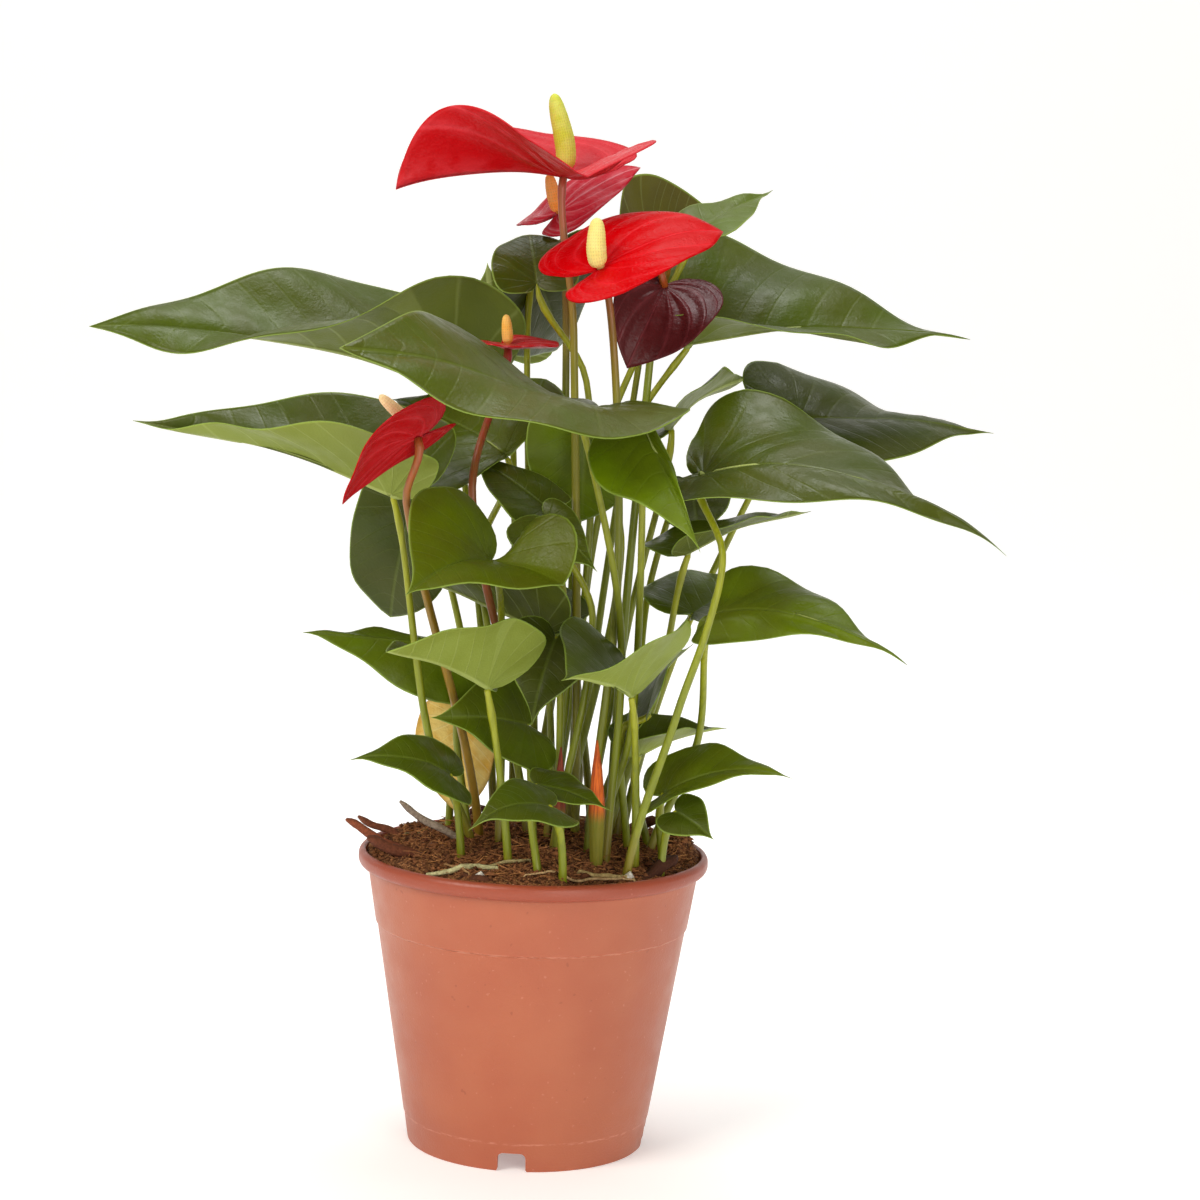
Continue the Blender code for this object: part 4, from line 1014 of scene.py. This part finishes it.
def fineSpadix(bloom):
    # a tapered tube whose radius swells in a lattice, cos(m * a + q * z) * cos(m * a - q * z),
    # with m knobs round it and q = m / radius, so that the knobs are as long as they are wide
    c = spadixLook
    full = bloom["spadixR"]
    line, normal = spadixLine(bloom, [0, 1])
    reach = np.linalg.norm(line[1] - line[0])
    steps = np.linspace(0, 1, int(reach / c["step"]))
    line, normal = spadixLine(bloom, steps)
    profile = np.interp(steps, [0, 0.03, 0.08, 0.15, 0.4, 0.7, 0.85, 0.93, 0.975, 1],
                        [0.45, 0.7, 0.9, 0.97, 1, 0.87, 0.73, 0.57, 0.38, 0.1])
    line = np.concatenate([[np.array(bloom["blade"]["at"], float) + 0.1 * normal], line])
    profile = np.concatenate([[0.42], profile])
    height = np.concatenate([[0], steps]) * reach
    m = round(np.pi * full / c["knob"])
    sides = c["knobSides"] * m
    angles = turnsOf(sides)
    turn, lift = m * angles[None, :], (m / full) * height[:, None]
    knob = np.cos(turn + lift) * np.cos(turn - lift)
    points, faces = tube(line, profile * full, sides, first=normal, lobes=1 + c["knobTall"] * knob)
    return points, faces, {"knob": np.concatenate([knob.reshape(-1), [0, 0]])}


for k, (name, bloom) in enumerate(bloomRows.items()):
    face, under, vein, spadixColour, low, high = bloomLook[name]
    s = bloom["blade"]
    maroon = name == "bloom_4"
    look = dict(spatheLook, quilt=maroonQuilt) if maroon else spatheLook
    points, faces, numbers, slots = fineBlade(s, look["seedStep"] * k, look)
    finishes = [spatheFinish("lacquered spathe " + name[-1], face, vein, 0.05, 0.26),
                spatheFinish("satin spathe underside " + name[-1], under, vein, 0.2, 0.3)]
    addPiece(name + "_spathe_fine", points, faces, finishes, [name + "_spathe"],
             "maroon_spathe" if maroon else "red_spathe", slots, numbers)
    points, faces, numbers = fineStem(s, name, 0.35, stalkLook["radius"], stalkLook)
    addPiece(name + "_stalk_fine", points, faces, [stalkFinish("flower stalk " + name[-1], low, high)],
             [name + "_stalk"], "flower_stalk", numbers=numbers)
    if "spadix" in bloom:
        points, faces, numbers = fineSpadix(bloom)
        addPiece(name + "_spadix_fine", points, faces,
                 [spadixFinish("knobbed spadix " + name[-1], spadixColour)], [name + "_spadix"],
                 "spadix", numbers=numbers)
print("blooms are open:", len(bloomRows))


# sheaths

sheathLook = {"steps": 26, "sides": 28, "wrap": 0.16, "ribs": 0.035, "ribCount": 9,
              "foot": "#6A741A"}
sheathColours = {"sheath_1": ("#DA6A1E", "#9A3A12"), "sheath_2": ("#8A3A22", "#5A2214")}


def sheathFinish(name, colour, deep):
    # dry papery wrap: dull, with fine long fibres, still green at its foot
    finish, tree, shader = newFinish(name, Specular_IOR_Level=0.3)
    fibre = grain(tree, 0.6, stretch=(1, 1, 0.05))
    feed(tree, shader, {
        "Base Color": layers(tree, colour, [(fibre, 1, deep),
                                            (strip(tree, "along", 0.42, 0.56), 0.9, sheathLook["foot"])]),
        "Roughness": grain(tree, 2.0, floor=0.5, top=0.7),
        "Normal": relief(tree, [(fibre, 0.12)])})
    return finish


def fineSheath(foot, top, radius):
    # a pointed tube with an overlapping edge: the radius steps by wrap where the turn closes,
    # and carries fine ribs, r * (1 + wrap * share + ribs * cos(count * angle))
    look = sheathLook
    steps = np.linspace(0, 1, look["steps"])
    profile = np.interp(steps, [0, 0.2, 0.5, 0.8, 1], [0.6, 0.8, 1, 0.6, 0.1])
    angles = turnsOf(look["sides"])
    lobes = (0.9 + look["wrap"] * (angles / (2 * np.pi))[None, :]
             + look["ribs"] * np.cos(look["ribCount"] * angles + 2 * steps[:, None]))
    points, faces = tube(sheathLine(foot, top, steps), profile * radius, look["sides"], lobes=lobes)
    return points, faces, {"along": np.concatenate([np.repeat(steps, look["sides"]), [0, 1]])}


for name, row in sheathRows.items():
    points, faces, numbers = fineSheath(*row)
    addPiece(name + "_fine", points, faces, [sheathFinish("papery " + name, *sheathColours[name])],
             [name], "sheath", numbers=numbers)
print("sheaths are wrapped:", len(sheathRows))


# pot

potLook = {
    "sides": 144, "wall": 1.3, "footWide": 2.2, "footStep": 9.4, "baseZ": 8.0, "baseThick": 1.6,
    "rimTop": 101.6, "rimR": 60.0, "rimInner": 57.6, "footRound": 0.5,
    "lipUnder": (2.2, 2.4), "lipOver": (1.9, 2.3), "lipInner": (0.8, 1.4),   # radii of its rounds
    "notchWide": 9.5, "notchTall": 6.6, "notchCorner": 2.0, "notches": 4, "notchTurn": -96.0,
    "holeR": 4.0, "holeAt": 25.0, "holeSides": 32,
    "body": "#A8583A", "bodyWorn": "#AE6040", "rim": "#98452C", "pale": "#D08C74",
    "dark": "#843E2A",
}


def potFinish():
    # thermoformed polypropylene, terracotta coloured: satin, dusty, with a patchy pale band along the
    # ring and foot steps that is partly scuffs and partly painted highlight
    finish, tree, shader = newFinish("satin terracotta polypropylene", Specular_IOR_Level=0.5,
                                     IOR=1.49, Subsurface_Weight=0.06, Subsurface_Scale=0.003)
    c = potLook
    dust, speck = grain(tree, 1.6, 0.72, 0.78, 1.0), grain(tree, 2.3, 0.74, 0.78, 1.0, (1, 1.01, 0.9))
    bandPatches = grain(tree, 3.0, 0.42, 0.62, stretch=(1, 1, 4))
    added = [(grain(tree, 30.0, detail=2.0), 1, c["bodyWorn"]),
             (strip(tree, "mmUp", 96.5, 95.0), 1, c["rim"])]
    # pale band along the ring step and the foot step: partly scuffed plastic, partly a painted highlight
    # where the step catches light
    for key in ("mmFromRing", "mmFromStep"):
        paleBandHighlightAndScuff = addNode(tree, "ShaderNodeMath", {0: strip(tree, key, 0.2, 0.6), 1: bandPatches},
                       operation="MULTIPLY")
        added.append((paleBandHighlightAndScuff, 0.5, c["pale"]))
    feed(tree, shader, {
        "Base Color": layers(tree, c["body"], added + [(dust, 0.25, c["pale"]),
                                                       (speck, 0.4, c["dark"])]),
        "Roughness": grain(tree, 8.0, floor=0.36, top=0.46),
        "Normal": relief(tree, [(grain(tree, 0.7, detail=2.0), 0.03), (dust, 0.04)])})
    return finish


def turned(profile, sides):
    # a closed profile of (radius, z) turned round Z; radius 0 is a pole
    profile = np.array(profile, float)
    angles = turnsOf(sides)
    ring = np.stack([np.cos(angles), np.sin(angles)], 1)
    points = np.concatenate([profile[:, :1, None] * ring,
                             np.broadcast_to(profile[:, 1:, None], (len(profile), sides, 1))], 2)
    i, j = around(sides)
    k = np.arange(len(profile) - 1)[:, None] * sides
    quads = np.stack([k + i, k + j, k + sides + j, k + sides + i], 2).reshape(-1, 4)
    return points.reshape(-1, 3), quads


def asObject(name, points, faces):
    # a bare object, welded where rings meet in a pole
    mesh = meshOf(name, points, faces)
    work = bmesh.new()
    work.from_mesh(mesh)
    bmesh.ops.remove_doubles(work, verts=work.verts, dist=1e-7)
    work.to_mesh(mesh)
    work.free()
    return placed(name, mesh)


def cutBy(target, tools):
    # one Boolean difference by a collection of tools, applied, with the tools then removed
    group = bpy.data.collections.new("tools")
    bpy.context.scene.collection.children.link(group)
    for tool in tools:
        bpy.context.scene.collection.objects.unlink(tool)
        group.objects.link(tool)
    change = target.modifiers.new("cut", "BOOLEAN")
    change.operation = "DIFFERENCE"
    change.operand_type = "COLLECTION"
    change.collection = group
    change.solver = "MANIFOLD"
    graph = bpy.context.evaluated_depsgraph_get()
    result = bpy.data.meshes.new_from_object(target.evaluated_get(graph))
    target.modifiers.clear()
    target.data = result
    for tool in tools:
        bpy.data.objects.remove(tool)
    bpy.data.collections.remove(group)
    return target


def notchBlock(turn):
    # a block with rounded top corners, pushed out through the foot ring
    c = potLook
    half, corner = c["notchWide"] / 2, c["notchCorner"]
    arc = np.radians(np.linspace(0, 90, 7))
    side = np.concatenate([[(half + 1, -1), (half, 0.8)],
                           np.stack([half - corner + corner * np.cos(arc),
                                     c["notchTall"] - corner + corner * np.sin(arc)], 1)])
    outline = np.concatenate([side, side[::-1] * [-1, 1]])
    n = len(outline)
    reach = np.repeat([build["footR"] - c["footWide"] - 3, build["footR"] + 4], n)
    across, z = np.tile(outline[:, 0], 2), np.tile(outline[:, 1], 2)
    points = np.stack([reach * math.cos(turn) - across * math.sin(turn),
                       reach * math.sin(turn) + across * math.cos(turn), z], 1)
    k = np.arange(1, n - 1)
    i, j = around(n)
    faces = np.concatenate([np.stack([0 * k, k + 1, k], 1), np.stack([n + 0 * k, n + k, n + k + 1], 1),
                            np.stack([i, j, n + j], 1), np.stack([i, n + j, n + i], 1)])
    return points, faces


def arcOf(centre, radius, start, end, count):
    # points on an arc, from one angle to another in degrees
    a = np.radians(np.linspace(start, end, count))
    return np.stack([centre[0] + radius[0] * np.cos(a), centre[1] + radius[1] * np.sin(a)], 1)


def makePot():
    # the wall's profile, from the middle of the base out, up, over the rolled rim and back down
    c = potLook
    footInner = build["footR"] - c["footWide"]
    low, top, foot = build["rimLow"], c["rimTop"], c["footRound"]
    wall = [(wallRadius(z), z) for z in np.linspace(c["footStep"] + 0.6, build["ringZ"], 12)]
    upper = [(wallRadius(z), z) for z in np.linspace(build["ringZ"] + 0.5, low, 4)]
    inside = [(wallRadius(z) - c["wall"], z)
              for z in np.linspace(low - 1, c["baseZ"] + c["baseThick"], 10)]
    profile = np.concatenate([
        [(0, c["baseZ"]), (footInner - 0.4, c["baseZ"]), (footInner, 0.3), (footInner + 0.3, 0),
         (build["footR"] - foot, 0)],
        arcOf((build["footR"] - foot, foot), (foot, foot), -90, 0, 4)[1:],
        [(wallRadius(c["footStep"]) - 0.2, c["footStep"])], wall, upper,
        arcOf((c["rimR"] - c["lipUnder"][0], low + 2.6), c["lipUnder"], -80, 0, 7),
        arcOf((c["rimR"] - c["lipOver"][0], top - c["lipOver"][1]), c["lipOver"], 10, 90, 8),
        arcOf((c["rimInner"] + 0.5, top - 1.5), c["lipInner"], 100, 180, 5), inside,
        [(0, c["baseZ"] + c["baseThick"])]])
    pot = asObject("pot_fine", *turned(profile, c["sides"]))
    cutters = []
    for k in range(c["notches"]):
        turn = math.radians(c["notchTurn"]) + k * 2 * math.pi / c["notches"]
        between = turn + math.pi / c["notches"]
        line = [(c["holeAt"] * math.cos(between), c["holeAt"] * math.sin(between), z)
                for z in (c["baseZ"] - 1, c["baseZ"] + c["baseThick"] + 1)]
        cutters.append(asObject("notch", *notchBlock(turn)))
        cutters.append(asObject("hole", *tube(line, c["holeR"], c["holeSides"])))
    cutBy(pot, cutters)
    z = np.array([point.co.z for point in pot.data.vertices]) / mm
    keepNumbers(pot.data, {"mmUp": z, "mmFromRing": np.abs(z - build["ringZ"] - 0.25),
                           "mmFromStep": np.abs(z - c["footStep"] - 0.4)})
    pot.data.materials.clear()
    pot.data.materials.append(potFinish())
    pot.data.shade_smooth()
    pot.data.set_sharp_from_angle(angle=math.radians(40))
    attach(pot, "root")
    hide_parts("pot")


makePot()
print("pot is moulded")


# coir, with what lies on it

coirLook = {
    "seed": 7, "sides": 150, "rings": 46,
    "clod": (7.0, 1.2), "crumb": (2.4, 1.2), "grit": (1.1, 0.5),   # size and height, mm
    "fibres": 2600, "fibreLong": (2.5, 11.0), "fibreR": (0.1, 0.26), "fibreEdge": 2.5, "tipEdge": 1.5,
    "heap": (6, 15, 44, 57, 8.5),   # azimuth, half angle, inner and outer radius, height
}
# mid and light are lifted above the coir's own brown to make up for the shade the leaves cast on it:
# painted light
coirColours = {"dark": "#4A2C1C", "mid": "#9C6640", "light": "#CC9864", "fibre": "#D09058",
               "stone": "#E8E2D4", "bark": "#5E3422", "barkPale": "#94603A"}
lumpRows = {   # how many, mm from the wall, radii, height over the coir in mm and in radii,
    # flatness, and the name, colours and roughness of the finish
    "coir_crumbs": (3000, 1.6, (0.4, 1.4), 0, 0.1, 0.7, ("coir crumb", "dark", "mid", 0.95)),
    "bark_chips": (90, 4, (1.2, 2.8), 0.2, 0, 0.4, ("bark chip", "bark", "barkPale", 0.85)),
}
random = np.random.default_rng(coirLook["seed"])


def latticeNoise(x, y, size, seed):
    # smooth noise from -1 to 1: a value for each lattice corner, frac(sin(dot) * 43758.5),
    # eased between the four corners round each point
    def corner(ix, iy):
        value = np.sin(ix * 127.1 + iy * 311.7 + seed * 74.7) * 43758.5453
        return 2 * (value - np.floor(value)) - 1
    gx, gy = x / size, y / size
    ix, iy = np.floor(gx), np.floor(gy)
    fx, fy = gx - ix, gy - iy
    fx, fy = fx * fx * (3 - 2 * fx), fy * fy * (3 - 2 * fy)
    lower = corner(ix, iy) * (1 - fx) + corner(ix + 1, iy) * fx
    upper = corner(ix, iy + 1) * (1 - fx) + corner(ix + 1, iy + 1) * fx
    return lower * (1 - fy) + upper * fy


def coirHeight(x, y):
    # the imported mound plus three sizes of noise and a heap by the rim, all fading at the wall
    heapAt, heapHalf, inner, outer, tall = coirLook["heap"]
    r = np.hypot(x, y)
    fade = np.clip((soilR - 0.2 - r) / 3, 0, 1)
    added = sum(height * latticeNoise(x, y, size, k)
                for k, (size, height) in enumerate(coirLook[key] for key in ("clod", "crumb", "grit")))
    turn = (np.degrees(np.arctan2(y, x)) - heapAt + 180) % 360 - 180
    heap = tall * np.exp(-(turn / heapHalf)**2) * np.exp(-((r - (inner + outer) / 2) / 5)**2)
    return soilHeight(x, y) + (added + heap) * fade


def coirFinish():
    # damp coconut coir: dull brown crumbs and fibres with lighter flecks, no gloss; its browns are lifted
    # to make up for the leaves' shade on it, painted light
    finish, tree, shader = newFinish("damp brown coir", Specular_IOR_Level=0.1, Roughness=0.92)
    c = coirColours
    feed(tree, shader, {
        "Base Color": layers(tree, c["dark"], [(grain(tree, 1.4, 0.35, 0.65, 4.0), 1, c["mid"]),
                                               (grain(tree, 0.7, 0.56, 0.72, 2.0), 1, c["light"])]),
        "Normal": relief(tree, [(grain(tree, 0.8, detail=4.0), 0.6)])})
    return finish


def litterFinish(name, low, high, rough):
    # dry fibre, crumb or bark: dull, each one with its own tint, a number kept at its vertices; crumbs
    # and fibres take the lifted coir browns, painted light
    finish, tree, shader = newFinish(name, Specular_IOR_Level=0.15, Roughness=rough)
    feed(tree, shader, {
        "Base Color": layers(tree, coirColours[low], [("tint", 1, coirColours[high]),
                                                      (grain(tree, 0.9, 0.35, 0.65), 0.3,
                                                       coirColours["dark"])]),
        "Normal": relief(tree, [(grain(tree, 0.5, detail=2.0), 0.1)])})
    return finish


def makeCoir():
    # a disc of rings whose height is coirHeight, closed by the pot's inner wall and base
    c = coirLook
    low = potLook["baseZ"] + potLook["baseThick"] + build["gap"]
    edge = wallRadius(build["rimLow"])
    radii = soilR * np.linspace(0, 1, c["rings"] + 1)
    profile = np.concatenate([
        np.stack([radii, np.zeros(c["rings"] + 1)], 1),
        [(edge - potLook["wall"] - 2 * build["gap"], build["rimLow"] - 1.5),
         (wallRadius(low) - potLook["wall"] - 1.3 * build["gap"], low), (0, low)]])
    points, faces = turned(profile, c["sides"])
    count = (c["rings"] + 1) * c["sides"]
    points[:count, 2] = coirHeight(points[:count, 0], points[:count, 1])
    soil = asObject("coir_fine", points, faces[:, ::-1])
    soil.data.materials.append(coirFinish())
    soil.data.shade_smooth()
    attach(soil, "root")
    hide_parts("soil")


def strands(start, way, side, reach, sag, radius, rings=5):
    # many thin three-sided strands at once: start + way * reach * t + side * sag * 4t(1-t)
    t = np.linspace(0, 1, rings)[None, :, None]
    line = (start[:, None] + way[:, None] * reach[:, None, None] * t
            + side[:, None] * (sag[:, None, None] * 4 * t * (1 - t)))
    across = unit(np.cross(way, [0.3, 0.2, 1.0]))
    other = np.cross(way, across)
    angles = turnsOf(3)
    ring = (np.cos(angles)[None, :, None] * across[:, None]
            + np.sin(angles)[None, :, None] * other[:, None])
    taper = (1 - 0.7 * np.abs(2 * t - 1)**3)[..., None]
    points = (line[:, :, None] + radius[:, None, None, None] * taper * ring[:, None])
    many = len(start)
    base = (np.arange(many) * rings * 3)[:, None, None]
    k = (np.arange(rings - 1) * 3)[None, :, None]
    i, j = around(3)
    first = np.stack(np.broadcast_arrays(base + k + i, base + k + j, base + k + 3 + j), -1)
    second = np.stack(np.broadcast_arrays(base + k + i, base + k + 3 + j, base + k + 3 + i), -1)
    base = base[:, 0, 0]
    last = base + (rings - 1) * 3
    ends = np.concatenate([np.stack([base, base + 2, base + 1], 1),
                           np.stack([last, last + 1, last + 2], 1)])
    faces = np.concatenate([first.reshape(-1, 3), second.reshape(-1, 3), ends])
    return points.reshape(-1, 3), faces


def lumps(centre, radius, flat):
    # many small eight-faced stones at once, each corner pushed in or out at random
    corners = np.array([(1, 0, 0), (-1, 0, 0), (0, 1, 0), (0, -1, 0), (0, 0, 1), (0, 0, -1)], float)
    many = len(centre)
    stretch = random.uniform(0.6, 1.3, (many, 6, 1)) * corners[None] * [1, 1, flat]
    turn = random.uniform(0, 2 * np.pi, many)
    cos, sin = np.cos(turn)[:, None], np.sin(turn)[:, None]
    x = stretch[..., 0] * cos - stretch[..., 1] * sin
    y = stretch[..., 0] * sin + stretch[..., 1] * cos
    points = centre[:, None] + radius[:, None, None] * np.stack([x, y, stretch[..., 2]], 2)
    octant = np.array([(0, 2, 4), (2, 1, 4), (1, 3, 4), (3, 0, 4), (2, 0, 5), (1, 2, 5), (3, 1, 5),
                       (0, 3, 5)])
    faces = (np.arange(many) * 6)[:, None, None] + octant[None]
    return points.reshape(-1, 3), faces.reshape(-1, 3)


def scattered(many, reach):
    # random places, even over a disc of radius reach
    r, a = reach * np.sqrt(random.uniform(0, 1, many)), random.uniform(0, 2 * np.pi, many)
    return r * np.cos(a), r * np.sin(a)


def strewFibres():
    # fibres lie nearly flat in every direction; one whose tip would pass the wall is turned round,
    # and one that still would is shortened
    c = coirLook
    many = c["fibres"]
    x, y = scattered(many, soilR - c["fibreEdge"])
    a = random.uniform(0, 2 * np.pi, many)
    tip = np.abs(random.normal(0, 0.16, many))
    way = np.stack([np.cos(a) * np.cos(tip), np.sin(a) * np.cos(tip), np.sin(tip)], 1)
    reach = random.uniform(*c["fibreLong"], many) * random.uniform(0.4, 1, many)
    inwards = np.hypot(x + way[:, 0] * reach, y + way[:, 1] * reach) > soilR - c["tipEdge"]
    way[inwards, :2] *= -1
    far = np.hypot(x + way[:, 0] * reach, y + way[:, 1] * reach)
    reach = np.where(far > soilR - c["tipEdge"], reach * 0.3, reach)
    start = np.stack([x, y, coirHeight(x, y) - 0.3], 1)
    side = unit(np.stack([-way[:, 1], way[:, 0], random.uniform(-0.1, 0.5, many)], 1))
    radius = random.uniform(*c["fibreR"], many)
    points, faces = strands(start, way, side, reach, random.uniform(-0.3, 0.3, many) * reach, radius)
    tint = np.repeat(random.uniform(0, 1, many)**1.6, len(points) // many)
    addPiece("coir_fibres", points, faces,
             [litterFinish("coir fibre", "mid", "fibre", 0.8)], [], "coir", numbers={"tint": tint})


def strewLumps(name, many, edge, radii, over, raised, flat, finish):
    # crumbs or chips even over the coir, each at its height + over + raised * radius
    x, y = scattered(many, soilR - edge)
    radius = random.uniform(*radii, many)
    centre = np.stack([x, y, coirHeight(x, y) + over + raised * radius], 1)
    points, faces = lumps(centre, radius, flat)
    addPiece(name, points, faces, [litterFinish(*finish)], [], "coir",
             numbers={"tint": np.repeat(random.uniform(0, 1, many), 6)})


makeCoir()
strewFibres()
for name, row in lumpRows.items():
    strewLumps(name, *row)
print("coir is strewn")


# sticks and roots on the coir

stickRows = [   # start, end, radius, bend and colour of each bark stick
    ((-64, -10, 112), (-38, -15, 100), 1.6, 2.0, "#8A4A30"),
    ((-56, -22, 108), (-34, -27, 101), 2.0, 1.0, "#6A3A26"),
    ((-46, -8, 118), (-19, -14, 103), 1.3, 1.0, "#9A8A7A"),
    ((-61, 6, 110), (-40, 4, 100), 1.3, 1.5, "#7A4630"),
    ((48, -26, 106), (36, -41, 100), 2.4, 0.5, "#4A2A1C"),
    ((-14, -54, 101), (-23, -47, 101), 2.2, 0.3, "#5A3420"),
    ((44, 30, 107), (29, 43, 99), 2.0, 0.5, "#5A3420"),
    ((-18, 48, 106), (-39, 37, 99), 1.9, 0.5, "#4A2A1C"),
    ((8, 50, 104), (26, 45, 100), 2.2, 0.4, "#5A3420"),
]
rootRows = [   # points along each pale root, its radius and colour
    ([(-36, -46), (-26, -44), (-18, -41), (-12, -42)], 1.0, "#C8C290"),
    ([(-30, -38), (-24, -43), (-20, -49)], 0.5, "#B48A5A"),
    ([(-20, -41), (-8, -38), (0, -36)], 0.6, "#A89A6A"),
    ([(-4, -50), (10, -48), (22, -46), (34, -46)], 0.45, "#C9A878"),
    ([(14, -42), (24, -43), (34, -44)], 0.9, "#B8A06A"),
    ([(30, 20), (20, 34), (4, 40)], 0.7, "#B8A878"),
    ([(-30, 30), (-40, 18), (-44, 2)], 0.6, "#A89A6A"),
]
stoneRows = [   # place and radius of each white stone
    ((-17, -51), 1.9), ((32, -44), 2.3), ((20, 40), 1.6), ((-42, 20), 1.5),
]


stickLook = {"steps": 18, "sides": 10, "knobs": 0.2, "sway": 0.5}
rootLook = {"steps": 8, "sides": 9, "up": 0.55, "dip": 1.5}


def stickPiece(start, end, radius, bend, seed):
    # a knobbly tapered tube that bows sideways, radius * (1 + knobs * sin(3 * angle + 9 * t))
    c = stickLook
    start, end = np.array(start, float), np.array(end, float)
    t = np.linspace(0, 1, c["steps"])[:, None]
    side = unit(np.cross(end - start, (0, 0, 1)))
    line = start + (end - start) * t + side * bend * np.sin(np.pi * t) * (-1)**seed
    line[:, 2] += c["sway"] * np.sin(9 * t[:, 0] + seed)
    lobes = 1 + c["knobs"] * np.sin(3 * turnsOf(c["sides"])[None, :] + 9 * t + seed)
    profile = np.interp(t[:, 0], [0, 0.1, 0.6, 1], [0.35, 0.85, 1, 0.7])
    return tube(line, radius * profile, c["sides"], lobes=lobes)


def rootPiece(places, radius):
    # a thin tube that follows the coir's own height, half sunk in it, and dips in at both ends
    c = rootLook
    places = np.array(places, float)
    t = np.linspace(0, len(places) - 1, c["steps"] * len(places))
    x, y = (np.interp(t, np.arange(len(places)), places[:, k]) for k in (0, 1))
    x, y = x + 0.6 * np.sin(2.1 * t + radius), y + 0.7 * np.sin(1.7 * t + 3 * radius)
    z = coirHeight(x, y) + c["up"] * radius
    smooth = np.convolve(np.pad(z, 3, "edge"), np.ones(7) / 7, "valid")
    z = np.maximum(smooth, z - 0.4) + 0.5
    z[[0, -1]] -= c["dip"]
    profile = 0.5 + 0.5 * np.sin(np.pi * np.linspace(0.05, 0.95, len(t)))
    return tube(np.stack([x, y, z], 1), radius * profile, c["sides"])


def barkFinish(name, colour):
    # weathered bark and root: dull, streaked along its length
    finish, tree, shader = newFinish(name, Specular_IOR_Level=0.2, Roughness=0.85)
    streak = grain(tree, 0.9, 0.35, 0.65, 4.0)
    feed(tree, shader, {"Base Color": layers(tree, colour, [(streak, 0.4, coirColours["dark"])]),
                        "Normal": relief(tree, [(streak, 0.2)])})
    return finish


for k, (start, end, radius, bend, colour) in enumerate(stickRows):
    addPiece(f"stick_{k + 1}", *stickPiece(start, end, radius, bend, k),
             [barkFinish(f"weathered bark {k + 1}", colour)], [], "coir")
for k, (places, radius, colour) in enumerate(rootRows):
    addPiece(f"root_{k + 1}", *rootPiece(places, radius), [barkFinish(f"pale root {k + 1}", colour)],
             [], "coir")
centre = np.array([(x, y, coirHeight(x, y) + 0.3 * r) for (x, y), r in stoneRows])
points, faces = lumps(centre, np.array([r for _, r in stoneRows]), 0.8)
addPiece("white_stones", points, faces, [barkFinish("white pumice", coirColours["stone"])], [],
         "coir")
print("sticks, roots and stones lie on the coir")
